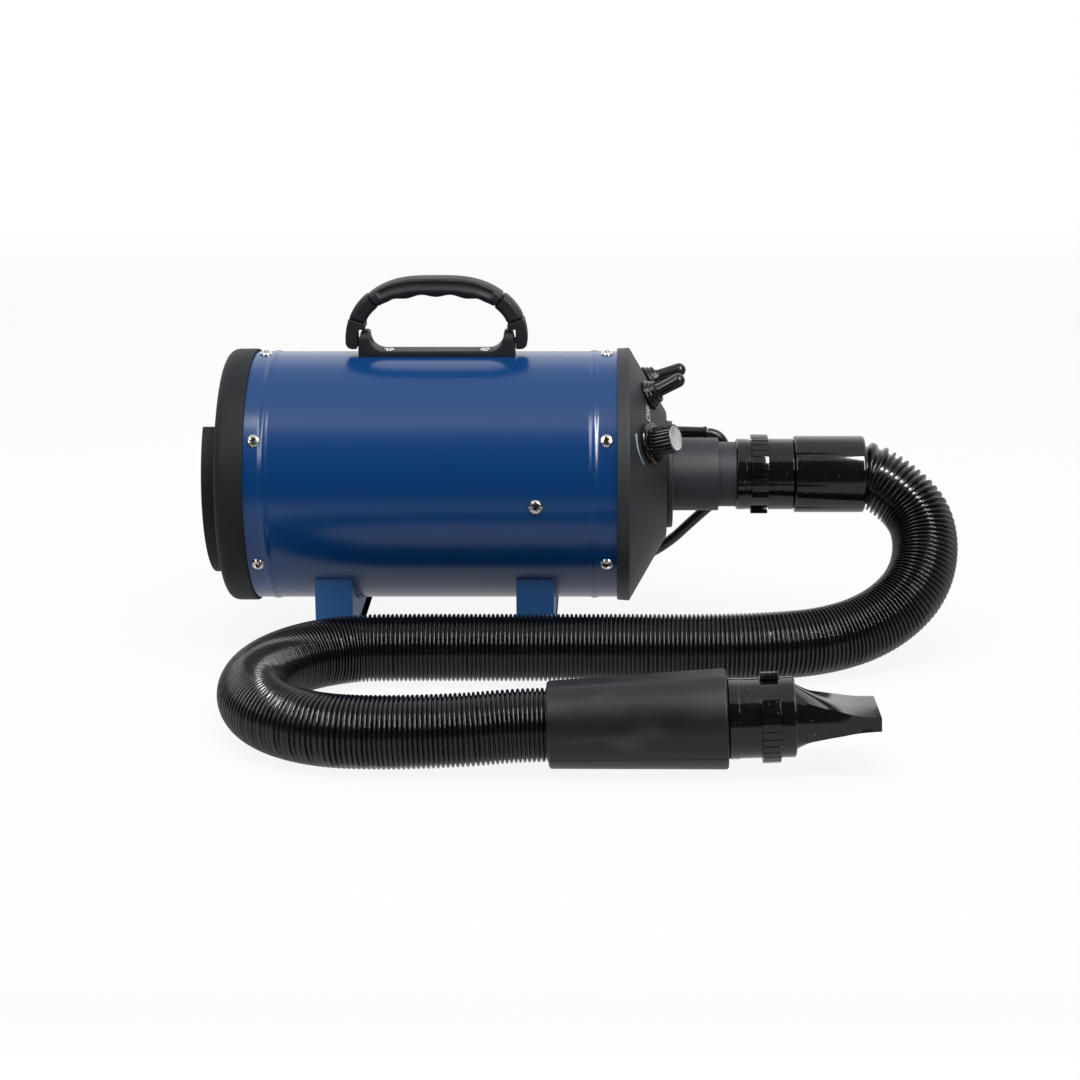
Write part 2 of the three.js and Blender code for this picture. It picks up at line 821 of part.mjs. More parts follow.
function handleArm(sign) {
  const notchHeight = earTop + armNotchGap;
  const notchX = armInner - armNotchDepth;
  const outline = new THREE.Shape();
  outline.moveTo(armInner, armBottom);
  outline.lineTo(handleHalf - armCornerRounding, armBottom);
  outline.quadraticCurveTo(handleHalf, armBottom, handleHalf, armBottom + armCornerRounding);
  outline.lineTo(handleHalf, armShoulderHeight);
  outline.quadraticCurveTo(
    handleHalf - armBulgeInset,
    armShoulderHeight + armBulgeRise,
    joint.outer.x,
    joint.outer.y,
  );
  outline.lineTo(joint.inner.x, joint.inner.y);
  outline.lineTo(notchX - armElbowInset, notchHeight + armElbowRise);
  outline.lineTo(notchX, notchHeight);
  outline.lineTo(armInner, notchHeight);
  const arm = prism(outline, armWidth, "y", 3);
  const bore = rod(armInner - overrun, armInner + pinHead + fit, pinHole, smallSides);
  const finished = cut(arm, bore.translate(0, 0, pivotHeight));
  return sign > 0 ? finished : finished.rotateZ(Math.PI);
}

function handleGrip() {
  // The joint's two ends, moved inwards across the joint by the fit
  const slant = joint.outer.clone().sub(joint.inner).normalize();
  const inwards = new THREE.Vector2(-slant.y, slant.x).multiplyScalar(fit);
  const outer = joint.outer.clone().add(inwards);
  const inner = joint.inner.clone().add(inwards);
  const shoulderX = joint.outer.x - gripShoulderInset;
  const shoulder = joint.outer.y + gripShoulderRise;
  const top = shoulder + gripCrown;
  const under = top - gripThickness;
  const underEnds = under - gripUnderSag;
  const underHalf = joint.inner.x - gripUnderInset;
  const outline = new THREE.Shape();
  outline.moveTo(outer.x, outer.y);
  outline.lineTo(shoulderX, shoulder);
  outline.quadraticCurveTo(shoulderX / 2, top, 0, top);
  outline.quadraticCurveTo(-shoulderX / 2, top, -shoulderX, shoulder);
  outline.lineTo(-outer.x, outer.y);
  outline.lineTo(-inner.x, inner.y);
  outline.lineTo(-underHalf, underEnds);
  const dipWidth = (2 * underHalf) / fingerDips;
  for (let k = 1; k <= fingerDips; k += 1) {
    const x = -underHalf + k * dipWidth;
    const height = k === fingerDips ? underEnds : under - fingerDip;
    outline.quadraticCurveTo(x - dipWidth / 2, under + fingerDip, x, height);
  }
  outline.lineTo(inner.x, inner.y);
  const body = prism(outline, gripWidth, "y", 3);
  const panel = new THREE.Shape();
  const panelHalf = shoulderX - panelInset;
  panel.moveTo(-panelHalf, under + panelInset);
  panel.lineTo(panelHalf, under + panelInset);
  panel.lineTo(panelHalf, shoulder - panelInset);
  panel.quadraticCurveTo(0, top - panelInset / 2, -panelHalf, shoulder - panelInset);
  const recess = (sign) =>
    prism(panel, 2 * panelDepth, "y", 3).translate(0, (sign * gripWidth) / 2, 0);
  return cut(body, recess(-1), recess(1));
}
addPiece(handle, "handle_grip", handleGrip(), finishes.capBlack);
for (const [side, sign] of [["rear", -1], ["front", 1]]) {
  addPiece(handle, `handle_arm_${side}`, handleArm(sign), finishes.capBlack);
  const pin = rod(sign * earInner, sign * (armInner + pinHead), pinRadius, smallSides);
  addPiece(handle, `handle_pin_${side}`, pin.translate(0, 0, pivotHeight), finishes.steel);
}

// Toggle switches: the body behind the cone, the ring nut on it and the booted lever
function toggleSwitch() {
  const top = -capWall - fit;
  const half = [switchWide / 2, switchTall / 2];
  const body = block([top - switchLength, top], [-half[0], half[0]], [-half[1], half[1]]);
  return join(body, rod(top - overrun, 0, bushingRadius, smallSides));
}

function toggleNut() {
  const bore = ballRadius + slipFit;
  return turned(
    [
      [fit, bore],
      [fit, nutRadius],
      [fit + nutHeight, nutRadius],
      [fit + nutHeight, collarRadius],
      [nutTop, collarRadius],
      [nutTop, mouthRadius],
      [togglePivot, bore],
    ],
    pipeSides,
  );
}

function toggleLever() {
  const root = ballRadius * Math.SQRT1_2;
  const tip = leverTop - togglePivot;
  return turned(
    [
      [-ballRadius, 0],
      [-root, root],
      [0, ballRadius],
      [ballRadius / 2, leverRadius],
      [tip - leverTipRadius, leverTipRadius],
      [tip - leverTipRadius * (1 - Math.SQRT1_2), leverTipRadius * Math.SQRT1_2],
      [tip, 0],
    ],
    smallSides,
  );
}

const toggleTilts = { near: -radians(toggleRaiseDegrees), far: radians(toggleTiltDegrees) };
for (const [side, frame] of Object.entries(toggleFrames)) {
  const place = new THREE.Group();
  place.applyMatrix4(frame);
  dryer.add(place);
  addPiece(place, `toggle_switch_${side}`, toggleSwitch(), finishes.outletBlack);
  addPiece(place, `toggle_nut_${side}`, toggleNut(), finishes.rubber);
  const lever = new THREE.Group();
  lever.position.x = togglePivot;
  lever.rotation.y = toggleTilts[side];
  place.add(lever);
  addPiece(lever, `toggle_boot_${side}`, toggleLever(), finishes.rubber);
}

// Heat dial: skirt, ribbed knob and cap on a shaft, and the module behind the cone
const dial = new THREE.Group();
dial.applyMatrix4(dialFrame);
dryer.add(dial);
const dialBore = dialShaftRadius + fit;
const knobBase = dialSkirtLift + dialSkirt + fit;
const shaftTop = knobBase + dialShaftInKnob;
const shaftBottom = -capWall - dialShaftBehind;

function ribbedKnob() {
  const outline = Array.from({ length: 2 * knobRibs }, (_, k) => {
    const radius = knobRadius - (k % 2) * knobRibDepth;
    const angle = (k / knobRibs) * Math.PI;
    return [radius * Math.cos(angle), radius * Math.sin(angle)];
  });
  const body = prism(outline, knobLength, "x").translate(knobBase + knobLength / 2, 0, 0);
  return cut(body, rod(knobBase - overrun, shaftTop + fit, dialBore, smallSides));
}

function speedModule() {
  const top = -capWall - moduleGap;
  const half = moduleSide / 2;
  const body = block([top - moduleDepth, top], [-half, half], [-half, half]);
  const bushing = rod(top - overrun, dialBushingTop, dialBushingRadius, smallSides);
  const bore = rod(shaftBottom - fit, dialBushingTop + overrun, dialBore, smallSides);
  return cut(join(body, bushing), bore);
}
const skirtProfile = [
  [dialSkirtLift, dialBore],
  [dialSkirtLift, dialSkirtRadius],
  [dialSkirtLift + dialSkirt / 2, dialSkirtRadius],
  [dialSkirtLift + dialSkirt, dialSkirtRadius - dialSkirt / 2],
  [dialSkirtLift + dialSkirt, dialBore],
];
const capStart = knobBase + knobLength + fit;
addPiece(dial, "speed_module", speedModule(), finishes.board);
addPiece(dial, "knob_shaft", rod(shaftBottom, shaftTop, dialShaftRadius, smallSides), finishes.steel);
addPiece(dial, "knob_skirt", turned(skirtProfile, pipeSides), finishes.glossBlack);
addPiece(dial, "speed_knob", ribbedKnob(), finishes.glossBlack);
addPiece(dial, "knob_cap", rod(capStart, capStart + knobCap, knobCapRadius, pipeSides), finishes.silver);

// Cable gland through the cone, beside the outlet
const glandMiddle = (coneFace + glandEnd) / 2;
addPiece(
  dryer,
  "cable_gland",
  turned(
    [
      [coneFace - glandInside, 0],
      [coneFace - glandInside, glandRadius],
      [coneFace, glandRadius],
      [glandMiddle, glandRadius + glandBarrel],
      [glandEnd - glandFlange, glandRadius],
      [glandEnd - glandFlange, glandFlangeRadius],
      [glandEnd, glandFlangeRadius],
      [glandEnd, 0],
    ],
    smallSides,
  ).translate(0, glandY, glandZ),
  finishes.glossBlack,
);

// Fan: shroud, impeller and shaft
const shroudX = tubeRear + shroudFromRear;
const fanFront = shroudX + fanFromShroud;
const motorRear = fanFront + motorFromFan;
const motorFront = motorRear + motorLength;
const shroudFront = shroudX + shroudPlate;
addPiece(
  dryer,
  "fan_shroud",
  turned(
    [
      [shroudX, shroudInlet],
      [shroudX, skirtRadius],
      [shroudFront, skirtRadius],
      [shroudFront, shroudSkirtRadius],
      [shroudX + shroudSkirtLength, shroudSkirtRadius],
      [shroudX + shroudSkirtLength, shroudSkirtRadius - shroudPlate],
      [shroudFront, shroudSkirtRadius - shroudPlate],
      [shroudFront, shroudInlet],
    ],
    innerSides,
  ),
  finishes.outletBlack,
);

function impeller() {
  const bladeRear = fanFront - fanPlate - fanBladeWidth;
  const backplate = rod(fanFront - fanPlate, fanFront, fanRadius, pipeSides);
  const hub = rod(bladeRear, fanFront, fanHubRadius, smallSides);
  const lean = radians(fanBladeLeanDegrees);
  // A blade is an arc from the hub to the rim, leaning back by the same angle at its tip
  const bladeSteps = 3;
  const edge = (thickness) =>
    Array.from({ length: bladeSteps + 1 }, (_, k) => {
      const share = k / bladeSteps;
      const radius = fanBladeRoot + (fanRadius - overrun - fanBladeRoot) * share;
      const angle = lean * share ** 2;
      const side = new THREE.Vector2(-Math.sin(angle), Math.cos(angle)).multiplyScalar(thickness / 2);
      return [radius * Math.cos(angle) + side.x, radius * Math.sin(angle) + side.y];
    });
  const outline = [...edge(-fanBladeThickness), ...edge(fanBladeThickness).reverse()];
  const blades = Array.from({ length: fanBlades }, (_, k) => {
    const width = fanBladeWidth + fanPlate / 2;
    const blade = prism(outline, width, "x").translate(bladeRear + width / 2, 0, 0);
    return blade.rotateX((k / fanBlades) * 2 * Math.PI);
  });
  const bore = rod(bladeRear - overrun, fanFront + overrun, shaftRadius + fit, smallSides);
  return cut(join(backplate, hub, ...blades), bore);
}
const shaftRear = fanFront - fanPlate - fanBladeWidth;
const shaftFront = motorRear + shaftInMotor;
addPiece(dryer, "impeller", impeller(), finishes.fanPlastic);
addPiece(dryer, "motor_shaft", rod(shaftRear, shaftFront, shaftRadius, smallSides), finishes.steel);

// Motor in its mounting plate
addPiece(
  dryer,
  "motor_can",
  turned(
    [
      [motorRear - motorNeck, shaftRadius + fit],
      [motorRear - motorNeck, motorNeckRadius],
      [motorRear, motorNeckRadius],
      [motorRear, motorRadius],
      [motorFront, motorRadius],
      [motorFront, 0],
      [shaftFront + fit, 0],
      [shaftFront + fit, shaftRadius + fit],
    ].reverse(),
    innerSides,
  ),
  finishes.motorSteel,
);

function motorMount() {
  const front = motorFront + mountPlate / 2;
  const plate = rod(front - mountPlate, front, skirtRadius, innerSides);
  const bore = rod(front - mountPlate - overrun, motorFront + fit, motorRadius + fit, innerSides);
  const nose = rod(front - mountPlate - overrun, front + overrun, motorRadius - capWall, innerSides);
  const inner = motorRadius + mountHubWidth;
  const outer = skirtRadius - mountRimWidth;
  const windows = Array.from({ length: mountWindows }, (_, k) =>
    sector(inner, outer, 0, mountWindowDegrees, mountPlate + 2 * overrun, 2)
      .translate(motorFront, 0, 0)
      .rotateX((k / mountWindows) * 2 * Math.PI),
  );
  return cut(plate, bore, nose, ...windows);
}
addPiece(dryer, "motor_mount", motorMount(), finishes.motorSteel);

// Air duct from the motor's plate to the outlet, with the heater in its straight part
const ductEnd = coneFace - outletTail - fit;
const heaterEnd = ductEnd - fit;
const heaterStart = heaterEnd - heaterLength;
const ductRear = motorFront + ductFromMotor;
const ductWaist = heaterStart - ductStraightBeforeHeater;
const ductRearRadius = skirtBore - ductInset;
addPiece(
  dryer,
  "air_duct",
  turned(
    [
      [ductRear, ductRearRadius - ductWall],
      [ductRear, ductRearRadius],
      [ductWaist, outletRadius],
      [ductEnd, outletRadius],
      [ductEnd, outletRadius - ductWall],
      [ductWaist, outletRadius - ductWall],
    ],
    innerSides,
  ),
  finishes.outletBlack,
);

const heaterRadius = outletRadius - ductWall - fit;

function heaterFrame() {
  const half = heaterSheet / 2;
  const core = (spread) => [
    block([heaterStart, heaterEnd], [-half, half], [-spread, spread]),
    block([heaterStart, heaterEnd], [-spread, spread], [-half, half]),
  ];
  const ends = [heaterStart, heaterEnd - heaterRingWidth].flatMap((x) => {
    const far = x + heaterRingWidth;
    const reach = heaterRadius - heaterRingWidth / 2;
    return [
      turned(
        [
          [x, heaterRadius - heaterRingWidth],
          [x, heaterRadius],
          [far, heaterRadius],
          [far, heaterRadius - heaterRingWidth],
        ],
        innerSides / 2,
      ),
      block([x, far], [-half, half], [-reach, reach]),
      block([x, far], [-reach, reach], [-half, half]),
    ];
  });
  return join(...core(heaterCoreRadius), ...ends);
}
addPiece(dryer, "heater_frame", heaterFrame(), finishes.mica);

function heaterCoil() {
  const radius = heaterCoreRadius + slipFit + heaterWire;
  const from = heaterStart + heaterRingWidth + slipFit + heaterWire;
  const to = heaterEnd - heaterRingWidth - slipFit - heaterWire;
  const turnSteps = 12;
  const steps = heaterTurns * turnSteps;
  const wireSides = 4;
  const along = new THREE.Vector3(1, 0, 0);
  const rings = Array.from({ length: steps + 1 }, (_, k) => {
    const angle = (k / turnSteps) * 2 * Math.PI;
    const out = new THREE.Vector3(0, Math.cos(angle), Math.sin(angle));
    const centre = out.clone().multiplyScalar(radius).setX(from + ((to - from) * k) / steps);
    return ring(centre, out, along, heaterWire, wireSides);
  });
  return loft(rings);
}
addPiece(dryer, "heater_coil", heaterCoil(), finishes.wire);

// Hose connector and nozzle collar: a sleeve with a groove in which two ribbed pads are squeezed
function sleeve({ start, end, outer, groove, grooveStart, grooveEnd, socket, socketStart, socketEnd }) {
  const profile = [
    [start + sleeveChamfer, outer],
    [grooveStart, outer],
    [grooveStart, groove],
    [grooveEnd, groove],
    [grooveEnd, outer],
    [end - sleeveChamfer, outer],
    [end, outer - sleeveChamfer],
  ];
  const bore =
    socketStart === start
      ? [[end, airwayRadius], [socketEnd, airwayRadius], [socketEnd, socket], [start, socket]]
      : [[end, socket], [socketStart, socket], [socketStart, airwayRadius], [start, airwayRadius]];
  return turned([...profile, ...bore, [start, outer - sleeveChamfer]], pipeSides);
}

// A ribbed pad, drawn about +Z, that covers its share of the sleeve. The clear radius is free of
// its inner faces.
function squeezePad(clear, outer, length) {
  const from = radians(90 - padSpanDegrees / 2);
  const span = radians(padSpanDegrees);
  const steps = 2 * padRibs;
  const teeth = Array.from({ length: steps + 1 }, (_, k) => {
    const radius = outer - (k % 2 ? 0 : padRibDepth);
    const angle = from + (span * k) / steps;
    return [radius * Math.cos(angle), radius * Math.sin(angle)];
  });
  const innerSteps = Math.ceil(padRibs / 2);
  const inner = clear / Math.cos(span / (2 * innerSteps));
  const inside = Array.from({ length: innerSteps + 1 }, (_, k) => {
    const angle = from + span * (1 - k / innerSteps);
    return [inner * Math.cos(angle), inner * Math.sin(angle)];
  });
  return prism([...teeth, ...inside], length, "x");
}

function addPads(parent, prefix, start, length, groove, outer, degrees) {
  const clear = groove + padTravel + fit / 2;
  for (const [side, turn] of [["near", 0], ["far", Math.PI]]) {
    const pad = squeezePad(clear, outer, length).translate(start + length / 2, 0, 0);
    pad.rotateX(radians(90 - degrees) + turn);
    addPiece(parent, `${prefix}_pad_${side}`, pad, finishes.glossBlack);
  }
}
addPiece(
  dryer,
  "hose_connector",
  sleeve({
    start: connectorStart,
    end: connectorEnd,
    outer: sleeveRadius,
    groove: grooveRadius,
    grooveStart: padStart - padSideGap,
    grooveEnd: padStart + padLength + padSideGap,
    socket: spigotRadius + fit,
    socketStart: connectorStart,
    socketEnd: spigotEnd + fit,
  }),
  finishes.glossBlack,
);
addPads(dryer, "connector", padStart, padLength, grooveRadius, padOuter, connectorPadDegrees);

// Hose cuff: hollow round the hose's first stretch, with flutes that fade towards the hose
const cuffStart = connectorEnd + fit;
const hoseStart = hoseRoute[0][0];
const hoseSocket = hoseRadius + slipFit;

function hoseCuff() {
  const body = turned(
    [
      [cuffStart, airwayRadius],
      [cuffStart, cuffRadius],
      [cuffEnd - cuffRounding, cuffRadius],
      [cuffEnd, cuffRadius - cuffRounding / 2],
      [cuffEnd, hoseSocket],
      [hoseStart - fit, hoseSocket],
      [hoseStart - fit, airwayRadius],
    ],
    pipeSides,
  );
  const length = cuffEnd - cuffStart;
  const flutes = Array.from({ length: cuffFlutes }, (_, k) => {
    const flute = rod(-overrun, length, cuffFluteRadius, smallSides);
    flute.rotateY(-Math.atan(cuffFluteDepth / (length - cuffFluteShort)));
    flute.translate(cuffStart, 0, cuffRadius + cuffFluteRadius - cuffFluteDepth);
    return flute.rotateX(((k + 1 / 2) / cuffFlutes) * 2 * Math.PI);
  });
  return cut(body, ...flutes);
}
addPiece(dryer, "hose_cuff", hoseCuff(), finishes.glossBlack);

// Ribbed hose: a crest and a valley for each rib, and an open bore
function ribbedHose() {
  const curve = curveThrough(hoseRoute);
  const boreRings = Math.round(curve.getLength() / (ribPitch * ribsPerBoreRing));
  const ribs = boreRings * ribsPerBoreRing;
  const steps = 2 * ribs;
  const frames = curve.computeFrenetFrames(steps);
  const ringAt = (k, radius) =>
    ring(curve.getPointAt(k / steps), frames.normals[k], frames.binormals[k], radius, hoseRingPoints);
  const outside = Array.from({ length: steps + 1 }, (_, k) => ringAt(k, k % 2 ? hoseRadius : hoseValley));
  const inside = Array.from({ length: boreRings + 1 }, (_, k) =>
    ringAt((boreRings - k) * 2 * ribsPerBoreRing, hoseBore),
  );
  console.log(`hose: ${curve.getLength().toFixed(0)} mm long, ${ribs} ribs`);
  return loft([...outside, ...inside], true);
}
addPiece(dryer, "hose", ribbedHose(), finishes.hoseBlack);

// Grip, lying on the floor along its side, with the collar and the nozzle at its front
const gripTilt = Math.asin((gripFrontRadius - gripRearRadius) / gripLength);
const handpiece = new THREE.Group();
handpiece.position.set(gripX, gripY, gripLift - axisHeight + gripRearRadius / Math.cos(gripTilt));
handpiece.rotation.y = -gripTilt;
dryer.add(handpiece);

function hoseGrip() {
  const body = turned(
    [
      [0, hoseSocket],
      [0, gripRearRadius - gripRounding / 2],
      [gripRounding, gripRearRadius],
      [gripLength - gripRounding, gripFrontRadius],
      [gripLength, gripFrontRadius - gripRounding],
      [gripLength, airwayRadius],
      [gripSocket, airwayRadius],
      [gripSocket, hoseSocket],
    ],
    pipeSides,
  );
  const half = gripFlatWidth / 2;
  const flat = (turn) =>
    block([-overrun, gripLength + overrun], [-half, half], [0, gripFrontRadius])
      .rotateY(-gripTilt)
      .translate(0, 0, gripRearRadius - gripFlatDepth)
      .rotateX(turn);
  return cut(body, flat(0), flat(Math.PI / 2));
}
addPiece(handpiece, "hose_grip", hoseGrip(), finishes.gripBlack);

const collarStart = gripLength + fit;
const collarEnd = collarStart + collarLength;
const nozzleSocket = nozzleRadius + slipFit;
addPiece(
  handpiece,
  "nozzle_collar",
  sleeve({
    start: collarStart,
    end: collarEnd,
    outer: collarOuter,
    groove: collarGroove,
    grooveStart: collarStart + collarPadStart - padSideGap,
    grooveEnd: collarStart + collarPadStart + collarPadLength + padSideGap,
    socket: nozzleSocket,
    socketStart: collarEnd - nozzleShank,
    socketEnd: collarEnd,
  }),
  finishes.glossBlack,
);
addPads(
  handpiece,
  "collar",
  collarStart + collarPadStart,
  collarPadLength,
  collarGroove,
  padOuter,
  collarPadDegrees,
);

// Flat nozzle: a round shank that spreads and flattens to a slot
function nozzle() {
  const start = collarEnd - nozzleShank + fit;
  const section = (x, halfWidth, halfHeight, squareness) =>
    Array.from({ length: nozzleRingPoints }, (_, k) => {
      const angle = ((k + 1 / 2) / nozzleRingPoints) * 2 * Math.PI;
      const cosine = Math.cos(angle);
      const sine = Math.sin(angle);
      const scale = (cosine ** squareness + sine ** squareness) ** (-1 / squareness);
      return new THREE.Vector3(x, halfWidth * cosine * scale, halfHeight * sine * scale);
    });
  const station = (share, wall, tipWall) => {
    const eased = 1 - (1 - share) ** 2;
    const thick = wall + (tipWall - wall) * share;
    const halfWidth = nozzleRadius + (nozzleTipHalfWidth - nozzleRadius) * share;
    const halfHeight = nozzleRadius + (nozzleTipHalfHeight - nozzleRadius) * eased;
    const squareness = share > 0 ? 4 : 2;
    const x = collarEnd + nozzleLength * share;
    return section(x, halfWidth - thick, halfHeight - thick, squareness);
  };
  const shares = Array.from({ length: nozzleStations + 1 }, (_, k) => k / nozzleStations);
  const outside = shares.map((share) => station(share, 0, 0));
  const inside = shares.map((share) => station(share, nozzleWall, nozzleTipWall)).reverse();
  const shank = [section(start, nozzleRadius, nozzleRadius, 2)];
  const bore = nozzleRadius - nozzleWall;
  return loft([...shank, ...outside, ...inside, section(start, bore, bore, 2)], true);
}
addPiece(handpiece, "nozzle", nozzle().rotateX(radians(nozzleRollDegrees)), finishes.glossBlack);

// Mains lead from the gland to the coil behind the body
function mainsCord() {
  const section = Array.from({ length: cordSides }, (_, k) => {
    const angle = (k / cordSides) * 2 * Math.PI;
    return new THREE.Vector2(cordRadius * Math.cos(angle), cordRadius * Math.sin(angle));
  });
  const extrudePath = curveThrough(cordRoute);
  return new THREE.ExtrudeGeometry(new THREE.Shape(section), { steps: cordSteps, extrudePath });
}
addPiece(dryer, "mains_cord", mainsCord(), finishes.rubber);

// The unseen length: in at the bottom, out again on top, climbing where the spiral turns back
const coilFloor = -axisHeight + coilLift + cordRadius;
const coilInner = coilOuter - (coilPitch * coilTurns) / 2;
const plugDirection = (() => {
  const height = coilLift + cordRadius + coilPitch - gripLift;
  const along = coilTail / 2 + plugShoulder;
  const angle = Math.acos(height / Math.hypot(plugRadius, along)) - Math.atan2(along, plugRadius);
  return new THREE.Vector3(Math.cos(angle), 0, Math.sin(angle));
})();
const coilExit = new THREE.Vector3(coilX + coilTail / 2, coilY + coilOuter, coilFloor + coilPitch);
const plugPlace = coilExit.clone().addScaledVector(plugDirection, coilTail / 2);

function coilCentres() {
  const steps = coilTurns * coilTurnSteps;
  const climbShare = 1 / (2 * coilTurns);
  const turns = Array.from({ length: steps + 1 }, (_, k) => {
    const share = k / steps;
    const inwards = Math.abs(2 * share - 1);
    const radius = coilInner + (coilOuter - coilInner) * inwards;
    const climbed = THREE.MathUtils.smoothstep(share, (1 - climbShare) / 2, (1 + climbShare) / 2);
    const angle = -Math.PI / 2 - share * coilTurns * 2 * Math.PI;
    return new THREE.Vector3(
      coilX + radius * Math.cos(angle),
      coilY + radius * Math.sin(angle),
      coilFloor + coilPitch * climbed,
    );
  });
  const leadIn = turns[0].clone().setX(coilX + coilLead);
  return [leadIn, ...turns, coilExit, plugPlace];
}

function mainsCoil() {
  const centres = coilCentres();
  const up = new THREE.Vector3(0, 0, 1);
  const rings = centres.map((centre, k) => {
    const before = centres[Math.max(k - 1, 0)];
    const after = centres[Math.min(k + 1, centres.length - 1)];
    const out = after.clone().sub(before).cross(up).normalize();
    const level = out.clone().cross(after.clone().sub(before)).normalize();
    return ring(centre, out, level, cordRadius, coilSides);
  });
  const apart = coilTurnSteps / 2;
  let leastGap = Infinity;
  for (let i = 0; i < rings.length; i += 1) {
    for (let j = i + apart; j < rings.length; j += 1) {
      if (centres[i].distanceTo(centres[j]) > 2 * coilPitch) continue;
      for (const point of rings[i]) {
        for (const other of rings[j]) leastGap = Math.min(leastGap, point.distanceTo(other));
      }
    }
  }
  console.log(`mains coil: least gap to itself ${leastGap.toFixed(2)} mm`);
  return loft(rings);
}
addPiece(dryer, "mains_coil", mainsCoil(), finishes.rubber);

// Tie round the turns, on the coil's side away from the lead's end
function coilTie() {
  const inner = coilX - coilInner + cordRadius + tieGap;
  const outer = coilX - coilOuter - cordRadius - tieGap;
  const low = coilFloor - cordRadius - tieGap;
  const high = coilFloor + coilPitch + cordRadius + tieGap;
  const loop = (grow, half) =>
    block(
      [outer - grow, inner + grow],
      [coilY - half, coilY + half],
      [low - grow, high + grow],
    );
  return cut(loop(tieThickness, tieWidth / 2), loop(0, tieWidth / 2 + overrun));
}
addPiece(dryer, "coil_tie", coilTie(), finishes.rubber);

// Plug with two round pins, lying on its disc beside the coil
const plug = new THREE.Group();
plug.position.copy(plugPlace);
plug.quaternion.setFromUnitVectors(new THREE.Vector3(1, 0, 0), plugDirection);
dryer.add(plug);
const plugFace = plugShoulder + plugDisc;

function plugBody() {
  const body = turned(
    [
      [fit, 0],
      [fit, cordRadius + overrun],
      [plugReliefLength, plugReliefRadius],
      [plugReliefLength, plugNeckRadius],
      [plugShoulder, plugRadius],
      [plugFace, plugRadius],
      [plugFace, 0],
    ],
    pipeSides,
  );
  const flats = [-1, 1].map((sign) => {
    const reach = [sign * plugFlatHalf, sign * (plugRadius + overrun)];
    const wide = plugRadius + overrun;
    return block([fit, plugFace + overrun], reach.sort((a, b) => a - b), [-wide, wide]);
  });
  const pinHoles = [-1, 1].map((sign) =>
    rod(plugFace - plugPinInside - fit, plugFace + overrun, plugPinRadius + fit, smallSides).translate(
      0,
      0,
      (sign * plugPinPitch) / 2,
    ),
  );
  return cut(body, ...flats, ...pinHoles);
}
addPiece(plug, "plug_body", plugBody(), finishes.rubber);
for (const [side, sign] of [["lower", -1], ["upper", 1]]) {
  const pin = rod(plugFace - plugPinInside, plugFace + plugPinLength, plugPinRadius, smallSides);
  addPiece(plug, `plug_pin_${side}`, pin.translate(0, 0, (sign * plugPinPitch) / 2), finishes.steel);
}

export default group;
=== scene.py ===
import math

import bmesh
import bpy
from mathutils import Matrix, Vector
from mathutils.geometry import interpolate_bezier


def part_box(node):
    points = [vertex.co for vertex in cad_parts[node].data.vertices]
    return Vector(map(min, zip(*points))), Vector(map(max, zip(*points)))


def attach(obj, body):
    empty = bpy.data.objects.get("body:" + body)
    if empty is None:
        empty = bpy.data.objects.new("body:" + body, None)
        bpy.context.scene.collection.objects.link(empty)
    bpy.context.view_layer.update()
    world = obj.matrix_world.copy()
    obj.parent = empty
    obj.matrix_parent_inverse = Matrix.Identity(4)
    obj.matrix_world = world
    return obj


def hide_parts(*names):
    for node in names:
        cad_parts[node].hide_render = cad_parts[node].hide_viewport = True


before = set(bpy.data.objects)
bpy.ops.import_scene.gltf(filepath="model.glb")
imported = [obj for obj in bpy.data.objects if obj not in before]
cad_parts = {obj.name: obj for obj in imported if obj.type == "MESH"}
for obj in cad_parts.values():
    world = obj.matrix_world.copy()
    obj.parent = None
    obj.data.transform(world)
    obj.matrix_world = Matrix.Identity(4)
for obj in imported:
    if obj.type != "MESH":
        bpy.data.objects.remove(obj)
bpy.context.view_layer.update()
mm = 0.001
scene = bpy.context.scene
scene.view_settings.view_transform = "Standard"

# The dryer's own origin: the tube's axis at its front rim. Sizes below are in millimetres from there
tubeUnderLip = 4
tubeLow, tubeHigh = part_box("housing_tube")
frontRim = tubeHigh[0] - tubeUnderLip * mm
axisHeight = (tubeLow[2] + tubeHigh[2]) / 2
tableHeight = -axisHeight / mm
dryerPlace = Matrix.Translation((frontRim, 0, axisHeight))
fit = 0.3  # between two pieces that touch

# Camera, where the photograph's stood
camera = {"distance": 1700, "elevation": 15, "lens": 81.67, "sensor": 36, "shift": (-0.0713, -0.0611)}


def makeCamera():
    data = bpy.data.cameras.new("photoCamera")
    data.lens = camera["lens"]
    data.sensor_width = camera["sensor"]
    data.shift_x, data.shift_y = camera["shift"]
    eye = bpy.data.objects.new("photoCamera", data)
    tilt = math.radians(camera["elevation"])
    away = camera["distance"] * mm
    eye.location = (frontRim, -away * math.cos(tilt), axisHeight + away * math.sin(tilt))
    eye.rotation_euler = (math.pi / 2 - tilt, 0, 0)
    scene.collection.objects.link(eye)
    scene.camera = eye


makeCamera()


# Finishes

def startFinish(name, colour, roughness, **inputs):
    finish = bpy.data.materials.new(name)
    finish.use_nodes = True
    shader = finish.node_tree.nodes["Principled BSDF"]
    shader.inputs["Base Color"].default_value = (*colour, 1)
    shader.inputs["Roughness"].default_value = roughness
    for label, value in inputs.items():
        shader.inputs[label.replace("_", " ")].default_value = value
    return finish, finish.node_tree, shader


def feed(node, **sources):
    for label, source in sources.items():
        node.id_data.links.new(source, node.inputs[label.replace("_", " ")])


